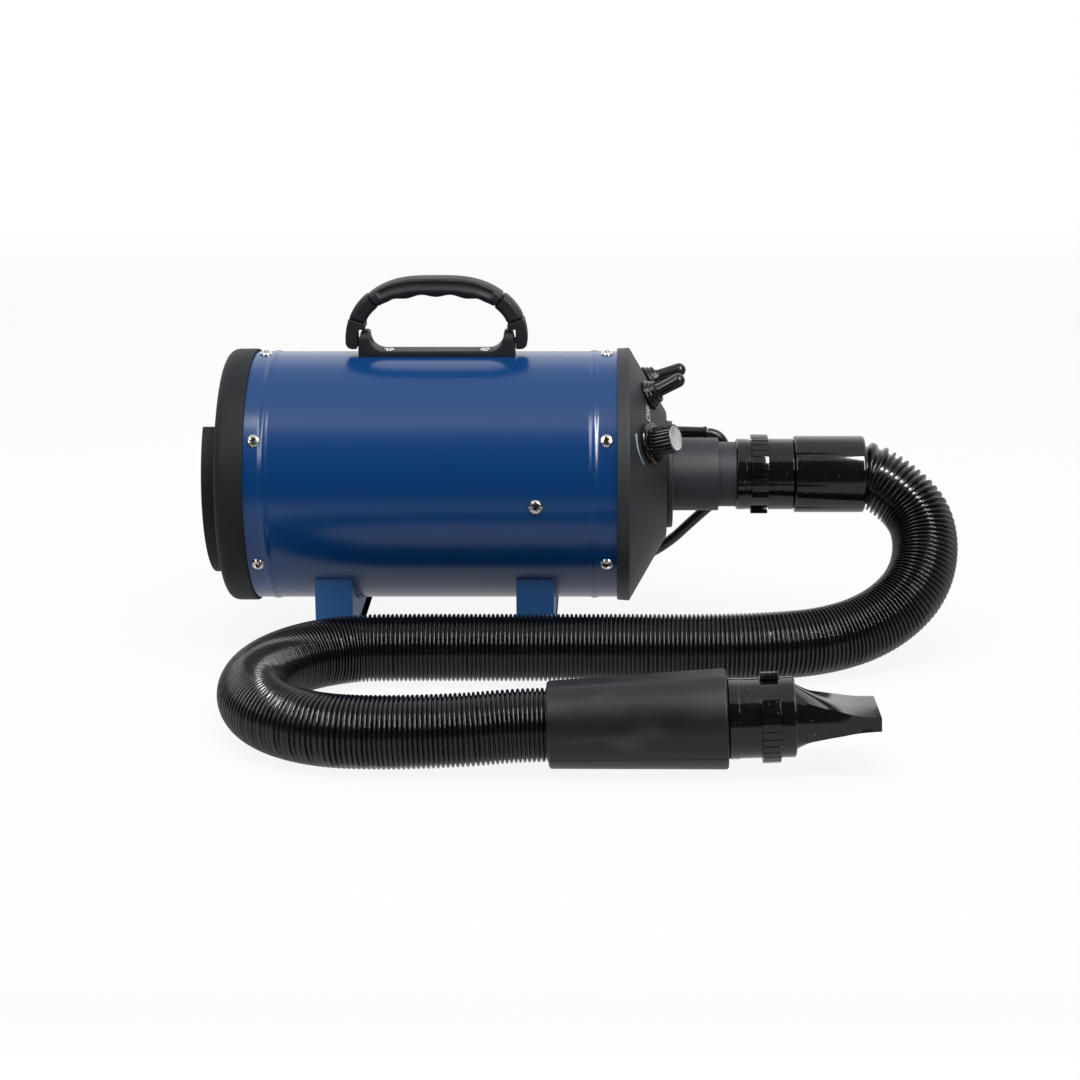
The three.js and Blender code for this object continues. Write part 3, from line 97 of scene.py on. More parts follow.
def addNoise(tree, scale, detail=3.0, stretch=(1, 1, 1)):
    place = tree.nodes.new("ShaderNodeTexCoord")
    turn = tree.nodes.new("ShaderNodeMapping")
    noise = tree.nodes.new("ShaderNodeTexNoise")
    turn.inputs["Scale"].default_value = stretch
    noise.inputs["Scale"].default_value = scale
    noise.inputs["Detail"].default_value = detail
    feed(turn, Vector=place.outputs["Object"])
    feed(noise, Vector=turn.outputs["Vector"])
    return noise.outputs["Fac"]


def spread(tree, source, low, high, fromLow=0.3, fromHigh=0.7):
    ramp = tree.nodes.new("ShaderNodeMapRange")
    ramp.inputs["From Min"].default_value = fromLow
    ramp.inputs["From Max"].default_value = fromHigh
    ramp.inputs["To Min"].default_value = low
    ramp.inputs["To Max"].default_value = high
    feed(ramp, Value=source)
    return ramp.outputs["Result"]


def tint(tree, factor, first, second):
    mix = tree.nodes.new("ShaderNodeMix")
    mix.data_type = "RGBA"
    mix.inputs["A"].default_value = (*first, 1)
    mix.inputs["B"].default_value = (*second, 1)
    feed(mix, Factor=factor)
    return mix.outputs["Result"]


def addBump(tree, shader, height, strength, depth):
    bump = tree.nodes.new("ShaderNodeBump")
    bump.inputs["Strength"].default_value = strength
    bump.inputs["Distance"].default_value = depth * mm
    feed(bump, Height=height)
    feed(shader, Normal=bump.outputs["Normal"])


# One colour, with a roughness that wanders by its play and a fine bump of scale, detail, strength and depth
def evenFinish(name, colour, roughness, play, wander, bump, **inputs):
    finish, tree, shader = startFinish(name, colour, roughness, **inputs)
    feed(shader, Roughness=spread(tree, addNoise(tree, *wander), roughness - play, roughness + play))
    scale, detail, strength, depth = bump
    addBump(tree, shader, addNoise(tree, scale, detail), strength, depth)
    return finish


def powderCoat(name, deep, light, roughness):
    finish, tree, shader = startFinish(name, deep, roughness)
    speckle = spread(tree, addNoise(tree, 900, 1), roughness - 0.05, roughness + 0.05, 0.2, 0.8)
    feed(shader, Base_Color=tint(tree, addNoise(tree, 9, 2), deep, light), Roughness=speckle)
    addBump(tree, shader, addNoise(tree, 700, 1), 0.3, 0.05)
    return finish


def grainedPlastic(name, light, dark, roughness, grain=0.35, shine=0.35):
    finish, tree, shader = startFinish(name, light, roughness, Specular_IOR_Level=shine)
    speckle = addNoise(tree, 1000, 2)
    feed(shader, Base_Color=tint(tree, spread(tree, speckle, 0, 1, 0.35, 0.65), dark, light))
    feed(shader, Roughness=spread(tree, addNoise(tree, 40), roughness - 0.04, roughness + 0.04))
    addBump(tree, shader, speckle, grain, 0.06)
    return finish


def glossPlastic():
    black, dust = (0.0048, 0.0055, 0.007), (0.16, 0.17, 0.18)
    finish, tree, shader = startFinish("glossPlastic", black, 0.1)
    specks = spread(tree, addNoise(tree, 800, 1), 0, 1, 0.74, 0.77)
    feed(shader, Base_Color=tint(tree, specks, black, dust))
    feed(shader, Roughness=spread(tree, addNoise(tree, 45, 3), 0.08, 0.13))
    addBump(tree, shader, addNoise(tree, 110, 1), 0.08, 0.05)
    return finish


def hosePlastic():
    return evenFinish("hosePlastic", (0.0045, 0.005, 0.006), 0.18, 0.04, (70, 3), (420, 1, 0.1, 0.05))


def gripRubber():
    black, scuffed = (0.008, 0.0087, 0.0108), (0.036, 0.037, 0.041)
    finish, tree, shader = startFinish("gripRubber", black, 0.38, Specular_IOR_Level=0.42)
    scuffs = spread(tree, addNoise(tree, 60, 6, (0.25, 1, 1)), 0, 1, 0.58, 0.74)
    feed(shader, Base_Color=tint(tree, scuffs, black, scuffed))
    feed(shader, Roughness=spread(tree, addNoise(tree, 30, 4), 0.33, 0.46))
    addBump(tree, shader, addNoise(tree, 1000, 2), 0.25, 0.05)
    return finish


def softRubber(name, roughness):
    return evenFinish(name, (0.0065, 0.0072, 0.0085), roughness, 0.05, (80, 3), (900, 1, 0.12, 0.03))


def stainless():
    grey, bump = (0.62, 0.61, 0.59), (600, 1, 0.08, 0.02)
    return evenFinish("stainless", grey, 0.2, 0.04, (500, 2), bump, Metallic=1.0)


def bareAlloy(name, colour, roughness=0.45, metallic=1.0):
    return evenFinish(name, colour, roughness, 0.1, (120, 4), (700, 3, 0.3, 0.05), Metallic=metallic)


def spunSilver():
    finish, tree, shader = startFinish("spunSilver", (0.56, 0.56, 0.57), 0.3, Metallic=1.0, Anisotropic=0.85)
    lathe = tree.nodes.new("ShaderNodeUVMap")
    lathe.uv_map = "turned"
    circles = tree.nodes.new("ShaderNodeTexNoise")
    circles.noise_dimensions = "1D"
    circles.inputs["Scale"].default_value = 160
    parts = tree.nodes.new("ShaderNodeSeparateXYZ")
    feed(parts, Vector=lathe.outputs["UV"])
    feed(circles, W=parts.outputs["Y"])
    feed(shader, Roughness=spread(tree, circles.outputs["Fac"], 0.2, 0.38))
    addBump(tree, shader, circles.outputs["Fac"], 0.35, 0.02)
    tangent = tree.nodes.new("ShaderNodeTangent")
    tangent.direction_type = "UV_MAP"
    tangent.uv_map = "turned"
    feed(shader, Tangent=tangent.outputs["Tangent"])
    return finish


def openFoam():
    finish, tree, shader = startFinish("openFoam", (0.02, 0.02, 0.021), 0.95)
    place = tree.nodes.new("ShaderNodeTexCoord")
    cells = tree.nodes.new("ShaderNodeTexVoronoi")
    cells.inputs["Scale"].default_value = 700
    feed(cells, Vector=place.outputs["Object"])
    # Painted shade: the hollows of the foam's cells are darker than their walls
    poreShadeMask = spread(tree, cells.outputs["Distance"], 0, 1, 0.1, 0.6)
    feed(shader, Base_Color=tint(tree, poreShadeMask, (0.004, 0.004, 0.004), (0.04, 0.04, 0.042)))
    addBump(tree, shader, cells.outputs["Distance"], 0.9, 0.6)
    return finish


def printInk(name, colour):
    finish, tree, shader = startFinish(name, colour, 0.5)
    worn = spread(tree, addNoise(tree, 900, 3), 0, 1, 0.3, 0.6)
    feed(shader, Base_Color=tint(tree, worn, tuple(0.75 * part for part in colour), colour))
    addBump(tree, shader, addNoise(tree, 1500, 2), 0.2, 0.02)
    return finish


blueCoat = powderCoat("bluePowder", (0.0005, 0.05, 0.2), (0.001, 0.056, 0.218), 0.22)
# Painted light: the feet's blue is lighter than the tube's, to brighten their front faces, which stand in the
# tube's shade. Their coat is also rougher
footCoatPaintedLight = powderCoat("bluePowderPaintedLight", (0.03, 0.15, 0.44), (0.033, 0.16, 0.46), 0.45)
capBlack = grainedPlastic("capBlack", (0.0095, 0.0115, 0.0155), (0.0072, 0.009, 0.0125), 0.6, shine=0.24)
coneBlack = grainedPlastic("coneBlack", (0.032, 0.035, 0.042), (0.021, 0.0235, 0.029), 0.54, 0.6)
outletBlack = grainedPlastic("outletBlack", (0.039, 0.0415, 0.051), (0.028, 0.0305, 0.038), 0.5, 0.6)
handleBlack = grainedPlastic("handleBlack", (0.0105, 0.0122, 0.016), (0.008, 0.0095, 0.0125), 0.52, 0.5)
glossBlack = glossPlastic()
hoseBlack = hosePlastic()
gripBlack = gripRubber()
bootBlack = softRubber("bootBlack", 0.25)
cordBlack = softRubber("cordBlack", 0.34)
padBlack = softRubber("padBlack", 0.6)
steel = stainless()
# Painted shade: a near-black finish for the faces inside the screws' cross recesses
recessShade = bareAlloy("recessShade", (0.03, 0.029, 0.028), 0.4)
silver = spunSilver()
foam = openFoam()
whiteInk = printInk("whiteInk", (0.85, 0.88, 0.92))
paleBlueInk = printInk("paleBlueInk", (0.52, 0.64, 0.72))
redInk = printInk("redInk", (0.3, 0.045, 0.03))
alloy = bareAlloy("castAlloy", (0.42, 0.43, 0.44))
board = bareAlloy("circuitBoard", (0.03, 0.1, 0.05), 0.5, 0.0)
mica = bareAlloy("micaSheet", (0.4, 0.32, 0.2), 0.6, 0.0)
wire = bareAlloy("heaterWire", (0.3, 0.27, 0.25), 0.4)
print("finishes made")


# Tools for shapes

# An outline whose corners are (x, y) or (x, y, rounding)
def roundCorners(corners, steps=5):
    line = []
    for k, corner in enumerate(corners):
        here = Vector(corner[:2])
        radius = corner[2] if len(corner) > 2 else 0
        if not radius:
            line.append(here)
            continue
        before = (Vector(corners[k - 1][:2]) - here).normalized()
        after = (Vector(corners[(k + 1) % len(corners)][:2]) - here).normalized()
        half = before.angle(after) / 2
        centre = here + (before + after).normalized() * radius / math.sin(half)
        start = here + before * radius / math.tan(half) - centre
        end = here + after * radius / math.tan(half) - centre
        turn = math.pi - 2 * half
        for step in range(steps + 1):
            share = step / steps
            arm = start * math.sin((1 - share) * turn) + end * math.sin(share * turn)
            line.append(centre + arm / math.sin(turn))
    return line


# The points of a round stretch of an outline, from one angle in degrees to another
def arcPoints(radius, first, last, steps, centre=(0, 0)):
    angles = [math.radians(first + (last - first) * k / steps) for k in range(steps + 1)]
    return [(centre[0] + radius * math.cos(angle), centre[1] + radius * math.sin(angle)) for angle in angles]


# Corners in X and radius turned about X: a ring, or a solid where they start and end on the axis
def spinRound(corners, sides=128):
    bm = bmesh.new()
    verts = [bm.verts.new((x * mm, 0, radius * mm)) for x, radius in roundCorners(corners)]
    edges = [bm.edges.new(pair) for pair in zip(verts, verts[1:])]
    if corners[0][1] > 0:
        edges.append(bm.edges.new((verts[-1], verts[0])))
    bmesh.ops.spin(
        bm,
        geom=verts + edges,
        cent=(0, 0, 0),
        axis=(1, 0, 0),
        angle=math.tau,
        steps=sides,
        use_merge=True,
    )
    bmesh.ops.remove_doubles(bm, verts=bm.verts, dist=0.00001)
    bmesh.ops.dissolve_degenerate(bm, edges=bm.edges, dist=0.000001)
    bmesh.ops.recalc_face_normals(bm, faces=bm.faces)
    return bm


def rod(start, end, radius, sides):
    return spinRound([(start, 0), (start, radius), (end, radius), (end, 0)], sides)


def roundEdges(bm, edges, rounding, segments):
    bmesh.ops.bevel(
        bm,
        geom=edges,
        offset=rounding * mm,
        segments=segments,
        profile=0.5,
        affect="EDGES",
        clamp_overlap=True,
        material=-1,
    )


def pushOut(bm, face, way):
    grown = bmesh.ops.extrude_face_region(bm, geom=[face], use_keep_orig=True)["geom"]
    bmesh.ops.translate(bm, vec=way, verts=[part for part in grown if isinstance(part, bmesh.types.BMVert)])
    return [part for part in grown if isinstance(part, bmesh.types.BMEdge)]


# An outline in X and Z made thick along Y, or in Y and Z made thick along X, with its rims rounded
def extrudeOutline(corners, depth, along="y", rounding=0.0, segments=3):
    bm = bmesh.new()
    half = depth * mm / 2
    line = roundCorners(corners)
    if along == "y":
        verts = [bm.verts.new((x * mm, -half, z * mm)) for x, z in line]
        way = (0, 2 * half, 0)
    else:
        verts = [bm.verts.new((-half, y * mm, z * mm)) for y, z in line]
        way = (2 * half, 0, 0)
    face = bm.faces.new(verts)
    rims = list(face.edges)
    rims += pushOut(bm, face, way)
    bmesh.ops.recalc_face_normals(bm, faces=bm.faces)
    if rounding:
        roundEdges(bm, rims, rounding, segments)
    return bm


def boxCorners(x, y, rounding=0.0):
    return [(x[0], y[0], rounding), (x[1], y[0], rounding), (x[1], y[1], rounding), (x[0], y[1], rounding)]


def roundedBlock(x, y, z, rounding=0.0):
    bm = extrudeOutline(boxCorners(x, z), y[1] - y[0])
    bmesh.ops.translate(bm, vec=(0, (y[0] + y[1]) / 2 * mm, 0), verts=bm.verts)
    if rounding:
        roundEdges(bm, bm.edges[:], rounding, 3)
    return bm


# A skin over loops of equally many points
def bridgeLoops(loops, capped=True):
    bm = bmesh.new()
    rings = []
    for loop in loops:
        verts = [bm.verts.new(point) for point in loop]
        rings.append([bm.edges.new(pair) for pair in zip(verts, verts[1:] + verts[:1])])
        if capped and len(rings) in (1, len(loops)):
            bm.faces.new(verts)
    for first, second in zip(rings, rings[1:]):
        bmesh.ops.bridge_loops(bm, edges=first + second)
    if not capped:
        bmesh.ops.bridge_loops(bm, edges=rings[-1] + rings[0])
    bmesh.ops.recalc_face_normals(bm, faces=bm.faces)
    return bm


def moved(bm, matrix):
    bmesh.ops.transform(bm, matrix=matrix, verts=bm.verts)
    return bm


def shift(x=0, y=0, z=0):
    return Matrix.Translation((x * mm, y * mm, z * mm))


def turnAbout(axis, degrees):
    return Matrix.Rotation(math.radians(degrees), 4, axis)


def asObject(name, bm):
    mesh = bpy.data.meshes.new(name)
    bm.to_mesh(mesh)
    bm.free()
    item = bpy.data.objects.new(name, mesh)
    scene.collection.objects.link(item)
    return item


def carve(bm, *cutters):
    whole = asObject("whole", bm)
    parts = [asObject("cutter", cutter) for cutter in cutters]
    for part in parts:
        step = whole.modifiers.new("carve", "BOOLEAN")
        step.object = part
        step.operation = "DIFFERENCE"
        step.solver = "EXACT"
    bpy.context.view_layer.update()
    result = bmesh.new()
    result.from_object(whole, bpy.context.evaluated_depsgraph_get())
    for item in [whole, *parts]:
        mesh = item.data
        bpy.data.objects.remove(item)
        bpy.data.meshes.remove(mesh)
    return result


def finishPiece(name, bm, finish, body="body", replaced=(), place=dryerPlace, sharp=35):
    moved(bm, place)
    piece = asObject(name, bm)
    piece.data.polygons.foreach_set("use_smooth", [True] * len(piece.data.polygons))
    piece.data.set_sharp_from_angle(angle=math.radians(sharp))
    piece.data.materials.append(finish)
    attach(piece, body)
    if replaced:
        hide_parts(*replaced)
    return piece


# A smooth line through given points
def smoothLine(knots):
    knots = [Vector(knot) for knot in knots]
    ends = [2 * knots[0] - knots[1], *knots, 2 * knots[-1] - knots[-2]]
    line = []
    for a, b, c, d in zip(ends, ends[1:], ends[2:], ends[3:]):
        reach = (c - b).length / 3
        leave = b + (c - a).normalized() * reach
        arrive = c - (d - b).normalized() * reach
        line += interpolate_bezier(b, leave, arrive, c, 16)[:-1]
    line.append(knots[-1])
    return line


def lineLength(line):
    return sum((b - a).length for a, b in zip(line, line[1:]))


# Points on a line at growing distances from its start
def pointsAt(line, distances):
    points, passed, k = [], 0.0, 0
    for goal in distances:
        while k < len(line) - 2 and passed + (line[k + 1] - line[k]).length < goal:
            passed += (line[k + 1] - line[k]).length
            k += 1
        share = (goal - passed) / (line[k + 1] - line[k]).length
        points.append(line[k].lerp(line[k + 1], min(max(share, 0), 1)))
    return points


def evenPoints(line, count):
    total = lineLength(line)
    return pointsAt(line, [total * k / count for k in range(count + 1)])


def between(low, high, share):
    return low + (high - low) * share


def eased(low, high, value):
    share = min(max((value - low) / (high - low), 0), 1)
    return share * share * (3 - 2 * share)


# A solid between an outer and an inner line, with a section of it at each share of the way, which
# gives points out along Y and down from the outer line. The ends are rounded by the rim
def loftBetween(outerAt, innerAt, sectionAt, steps, rim=0.9):
    middles = [(outerAt(k / 20) + innerAt(k / 20)) / 2 for k in range(21)]
    edge = rim / lineLength(middles)
    ends = [(t * edge, (1 - math.sqrt(1 - (1 - t) ** 2)) * rim) for t in (0, 0.13, 0.5)]
    stations = ends + [(edge + (1 - 2 * edge) * k / steps, 0) for k in range(steps + 1)]
    stations += [(1 - share, inset) for share, inset in reversed(ends)]
    loops = []
    for share, inset in stations:
        outside, within = outerAt(share), innerAt(share)
        depth = (within - outside).length
        way = (within - outside) / depth
        points = sectionAt(share, depth)
        narrow = 1 - inset / max(y for y, down in points)
        thin = 1 - 2 * inset / depth
        loop = []
        for y, down in points:
            spot = outside + way * (depth / 2 + (down - depth / 2) * thin)
            loop.append(Vector((spot.x, y * narrow, spot.z)) * mm)
        loops.append(loop)
    return bridgeLoops(loops)


# Frames along a line, with X forwards, that turn as little as they can
def framesAlong(points, up=(0, 0, 1)):
    frames, up = [], Vector(up)
    for k, point in enumerate(points):
        forward = (points[min(k + 1, len(points) - 1)] - points[max(k - 1, 0)]).normalized()
        up = (up - forward * up.dot(forward)).normalized()
        side = up.cross(forward)
        frames.append(Matrix((forward, side, up)).transposed().to_4x4())
        frames[-1].translation = point
    return frames


# Ribbed hose, first among the pieces with the mains lead. Its route is in metres

hoseRoute = [
    (0.1265, 0, 0), (0.149, 0, 0), (0.167, 0, 0), (0.1745, -0.0002, -0.0005),
    (0.183, -0.002, -0.0046), (0.1926, -0.006, -0.0108), (0.2016, -0.0113, -0.0182),
    (0.208, -0.0182, -0.0266), (0.2109, -0.027, -0.0364), (0.2104, -0.0374, -0.0476),
    (0.2065, -0.047, -0.0586), (0.199, -0.0554, -0.069), (0.1876, -0.063, -0.0782),
    (0.174, -0.0704, -0.085), (0.1567, -0.0786, -0.0898), (0.133, -0.0885, -0.0922),
    (0.105, -0.0964, -0.0923), (0.0684, -0.1002, -0.0923), (-0.01, -0.1006, -0.0923),
    (-0.09, -0.1005, -0.0923), (-0.145, -0.1007, -0.0923), (-0.176, -0.1036, -0.0923),
    (-0.204, -0.119, -0.0923), (-0.223, -0.145, -0.0923), (-0.23, -0.178, -0.0923),
    (-0.223, -0.211, -0.0923), (-0.204, -0.237, -0.0923), (-0.176, -0.2526, -0.0923),
    (-0.14, -0.2573, -0.092), (-0.095, -0.2572, -0.0906), (-0.062, -0.2548, -0.0889),
    (-0.0416, -0.2545, -0.08828), (-0.018, -0.2545, -0.08743), (0.0041, -0.2545, -0.08663),
]
hose = {
    "exit": (126.5, 0, 0),
    "radius": 22.4,
    "valley": 20.2,
    "bore": 17.6,
    "pitch": 2.9,
    "sides": 40,
    "crest": [(2.5, 0.0), (2.15, 0.7), (1.6, 1.0), (0.95, 1.0), (0.4, 0.7)],  # before the next rib, rise
    "drawnPitch": 4.4,
    "drawnValley": 19.2,
    "drawnRun": (58, 130),
    "boreEvery": 30,
}


# The ribs stand apart and deeper where the hose is drawn out at the cuff
def makeHose():
    whole = smoothLine([dryerPlace @ Vector(knot) for knot in hoseRoute])
    length = lineLength(whole) / mm
    stations = []
    start = 0
    while start < length - hose["pitch"]:
        drawn = 1 - eased(*hose["drawnRun"], start)
        pitch = between(hose["pitch"], hose["drawnPitch"], drawn)
        valley = between(hose["valley"], hose["drawnValley"], drawn)
        stations.append((start, valley))
        for before, rise in hose["crest"]:
            stations.append((start + pitch - before, between(valley, hose["radius"], rise)))
        start += pitch
    stations.append((length, hose["valley"]))
    line = pointsAt(whole, [distance * mm for distance, radius in stations])
    last = len(stations) - 1
    profile = [(k, radius) for k, (distance, radius) in enumerate(stations)]
    profile += [(k, hose["bore"]) for k in range(last, 0, -hose["boreEvery"])] + [(0, hose["bore"])]
    bm = spinRound(profile, hose["sides"])
    frames = framesAlong(line)
    for vert in bm.verts:
        here = frames[round(vert.co.x / mm)]
        vert.co = here @ Vector((0, vert.co.y, vert.co.z))
    return finishPiece("ribbed_hose", bm, hoseBlack, replaced=["hose"], place=Matrix(), sharp=75), whole


hosePiece, hoseLine = makeHose()
print("hose", round(lineLength(hoseLine), 3), "m")


# Mains lead: from the gland round the outlet and behind the body, into a coil of the unseen length.
# Its route is in metres

leadRoute = [
    (0.0643, 0.045, 0.018), (0.0692, 0.045, 0.0172), (0.0738, 0.0451, 0.0137), (0.0768, 0.0455, 0.007),
    (0.078, 0.046, -0.002), (0.0774, 0.0468, -0.0125), (0.0745, 0.0478, -0.0238),
    (0.0694, 0.0491, -0.0335), (0.062, 0.0506, -0.0409), (0.0515, 0.0534, -0.0516),
    (0.041, 0.057, -0.0626), (0.0295, 0.0614, -0.0724), (0.013, 0.0666, -0.083),
    (-0.005, 0.0722, -0.0934), (-0.024, 0.077, -0.102), (-0.044, 0.08, -0.1078),
    (-0.064, 0.0811, -0.1094), (-0.084, 0.08125, -0.10945), (-0.1102, 0.08125, -0.10945),
]
lead = {"radius": 3.75, "exit": (64.3, 45, 18), "step": 3}
coil = {
    "centre": (-118, 135.6),
    "outer": 54.35,
    "pitch": 8.15,
    "turns": 7.5,
    "turnSteps": 24,
    "lift": 1.8,
    "tail": 16,
}
plug = {
    "radius": 18.5,
    "disc": 11,
    "neck": 11,
    "relief": 5.4,
    "reliefLength": 20,
    "ridges": 7,
    "ridgePitch": 3,
    "ridgeRadii": (4.3, 4.9),
    "shoulder": 34,
    "flats": 14,
    "rest": 0.2,
    "pinRadius": 2.4,
    "pinPitch": 19,
    "pinLength": 19,
}
tie = {"width": 11, "thickness": 1.1, "gap": 0.4}
coilFloor = tableHeight + coil["lift"] + lead["radius"]
coilInner = coil["outer"] - coil["pitch"] * coil["turns"] / 2


def plugTilt():
    height = coil["lift"] + lead["radius"] + coil["pitch"] - plug["rest"]
    along = coil["tail"] / 2 + plug["shoulder"]
    return math.acos(height / math.hypot(plug["radius"], along)) - math.atan2(along, plug["radius"])


# Inwards on the table for half of the turns, then outwards on top of them
def coilKnots():
    knots = []
    x, y = coil["centre"]
    steps = round(coil["turns"] * coil["turnSteps"])
    climbShare = 1 / (2 * coil["turns"])
    for k in range(steps + 1):
        share = k / steps
        radius = between(coilInner, coil["outer"], abs(2 * share - 1))
        climb = eased(-0.5, 0.5, (share - 0.5) / climbShare)
        angle = -math.pi / 2 - share * coil["turns"] * math.tau
        height = coilFloor + coil["pitch"] * climb
        knots.append(Vector((x + radius * math.cos(angle), y + radius * math.sin(angle), height)))
    last = Vector((x + coil["tail"] / 2, y + coil["outer"], coilFloor + coil["pitch"]))
    tilt = plugTilt()
    plugStart = last + Vector((math.cos(tilt), 0, math.sin(tilt))) * coil["tail"] / 2
    return [knot * mm for knot in [*knots, last, plugStart]]


def makeLead():
    whole = smoothLine([dryerPlace @ Vector(knot) for knot in [*leadRoute, *coilKnots()]])
    line = evenPoints(whole, round(lineLength(whole) / (lead["step"] * mm)))
    data = bpy.data.curves.new("mains_lead", "CURVE")
    data.dimensions = "3D"
    data.bevel_depth = lead["radius"] * mm
    data.bevel_resolution = 4
    data.use_fill_caps = True
    spline = data.splines.new("POLY")
    spline.points.add(len(line) - 1)
    for point, place in zip(spline.points, line):
        point.co = (*place, 1)
    spline.use_smooth = True
    data.materials.append(cordBlack)
    piece = bpy.data.objects.new("mains_lead", data)
    scene.collection.objects.link(piece)
    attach(piece, "body")
    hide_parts("mains_cord", "mains_coil")
    return piece, line


leadPiece, leadLine = makeLead()
plugPlace = Matrix.Translation(leadLine[-1]) @ Matrix.Rotation(-plugTilt(), 4, "Y")
print("lead", round(lineLength(leadLine), 3), "m")


def makePlug():
    low, high = plug["ridgeRadii"]
    pitch = plug["ridgePitch"]
    shoulder, radius, neck = plug["shoulder"], plug["radius"], plug["neck"]
    face = shoulder + plug["disc"]
    corners = [(fit, 0), (fit, low, 0.4)]
    corners += [(pitch * (k + 0.5), high if k % 2 else low) for k in range(plug["ridges"])]
    corners += [
        (plug["reliefLength"], plug["relief"]),
        (plug["reliefLength"] + 1, neck - 0.5, 2),
        (shoulder - 5, neck, 6),
        (shoulder, radius, 2),
        (face, radius, 1.2),
        (face, 0),
    ]
    wide = radius + 1
    sides = []
    for sign in (-1, 1):
        reach = sorted([sign * plug["flats"], sign * (wide + 5)])
        sides.append(roundedBlock((-5, face + 5), reach, (-wide, wide)))
    body = carve(spinRound(corners, 96), *sides)
    pieces = [finishPiece("plug_moulding", body, cordBlack, "body", ["plug_body"], plugPlace, 30)]
    thick, tip = plug["pinRadius"], face + plug["pinLength"]
    for side, sign in (("lower", -1), ("upper", 1)):
        outline = [(face - 4, 0), (face - 4, thick), (tip - 1.2, thick, 0.5), (tip, thick - 1, 0.8), (tip, 0)]
        place = plugPlace @ shift(z=sign * plug["pinPitch"] / 2)
        name = f"plug_pin_{side}"
        pin = spinRound(outline, 32)
        pieces.append(finishPiece(f"{name}_turned", pin, steel, replaced=[name], place=place))
    return pieces


def makeTie():
    gap = lead["radius"] + tie["gap"]
    left = coil["centre"][0] - coil["outer"] - gap
    right = coil["centre"][0] - coilInner + gap
    low, high = coilFloor - gap, coilFloor + coil["pitch"] + gap

    def loop(grow, depth, rounding):
        across, upright = (left - grow, right + grow), (low - grow, high + grow)
        return extrudeOutline(boxCorners(across, upright, rounding), depth)

    band = carve(loop(tie["thickness"], tie["width"], 3), loop(0, tie["width"] + 2, 2))
    place = dryerPlace @ shift(y=coil["centre"][1])
    return finishPiece("coil_strap", band, padBlack, replaced=["coil_tie"], place=place)


leadEnds = [*makePlug(), makeTie()]
print("plug and tie made")


# Steel tube, its beads rolled outwards

tube = {
    "radius": 85,
    "wall": 1.2,
    "rear": -256,
    "front": tubeUnderLip,
    "beads": (-234, -15.5),
    "beadWidth": 8,
    "beadHeight": 0.8,
    "beadSteps": 12,
}


def makeTube():
    radius, steps = tube["radius"], tube["beadSteps"]
    outside = [(tube["rear"], radius)]
    for middle in tube["beads"]:
        for k in range(steps + 1):
            height = tube["beadHeight"] * (0.5 - 0.5 * math.cos(math.tau * k / steps))
            outside.append((middle + (k / steps - 0.5) * tube["beadWidth"], radius + height))
    bore = radius - tube["wall"]
    corners = [*outside, (tube["front"], radius), (tube["front"], bore), (tube["rear"], bore)]
    finishPiece("tube_shell", spinRound(corners, 192), blueCoat, replaced=["housing_tube"], sharp=50)


makeTube()


# Rear cap with its open rim and grille, and the filter cover in it

seat = {"lipBore": 85.3, "skirt": 83.5, "skirtBore": 81.2}  # of both ends on the tube
cap = {
    "lip": -247.5,
    "face": -267,
    "radius": 87,
    "wall": 2.5,
    "bore": 79,
    "flareEnd": -260,
    "tubeStop": -256.3,
    "skirtReach": 11.5,
    "rimRadius": 67.5,
    "rimWall": 3,
    "rimLength": 10.5,
    "rimOpening": 94,
    "intake": 58,
    "intakeDepth": 20,
    "hoops": (22, 36, 50),
    "hub": 11,
    "spokes": 6,
    "grille": 3,
}
cover = {
    "radius": 57.5,
    "proud": 2.5,
    "plate": 2.5,
    "skirt": 9,
    "wall": 2.4,
    "louvres": 5,
    "pitch": 18,
    "height": 6,
    "margin": 8,
    "vane": (1.6, 0.5, 35),  # half its width, half its thickness, degrees
}
foamDisc = {"radius": 54.6, "gap": 0.4, "end": -250.4, "rounding": 1.5}


def makeCapShell():
    face, lip, wall = cap["face"], cap["lip"], cap["wall"]
    floor = face + cap["intakeDepth"]
    corners = [
        (lip, cap["radius"], 0.6),
        (face, cap["radius"], 7),
        (face, cap["intake"], 0.8),
        (floor, cap["intake"]),
        (floor, cap["intake"] + wall),
        (face + wall, cap["intake"] + wall),
        (face + wall, cap["bore"]),
        (cap["flareEnd"], seat["skirtBore"]),
        (lip + cap["skirtReach"], seat["skirtBore"]),
        (lip + cap["skirtReach"], seat["skirt"]),
        (cap["tubeStop"], seat["skirt"]),
        (cap["tubeStop"], seat["lipBore"]),
        (lip, seat["lipBore"], 0.4),
    ]
    finishPiece("rear_cap_shell", spinRound(corners, 192), capBlack, replaced=["rear_cap"])


def makeCapRim():
    first = 90 + cap["rimOpening"] / 2
    last = first + 360 - cap["rimOpening"]
    outline = arcPoints(cap["rimRadius"], first, last, 90)
    outline += arcPoints(cap["rimRadius"] - cap["rimWall"], last, first, 90)
    rim = extrudeOutline(outline, cap["rimLength"] + 1, "x", rounding=0.7)
    middle = cap["face"] - cap["rimLength"] / 2 + 0.5
    finishPiece("rear_cap_rim", rim, capBlack, place=dryerPlace @ shift(x=middle))


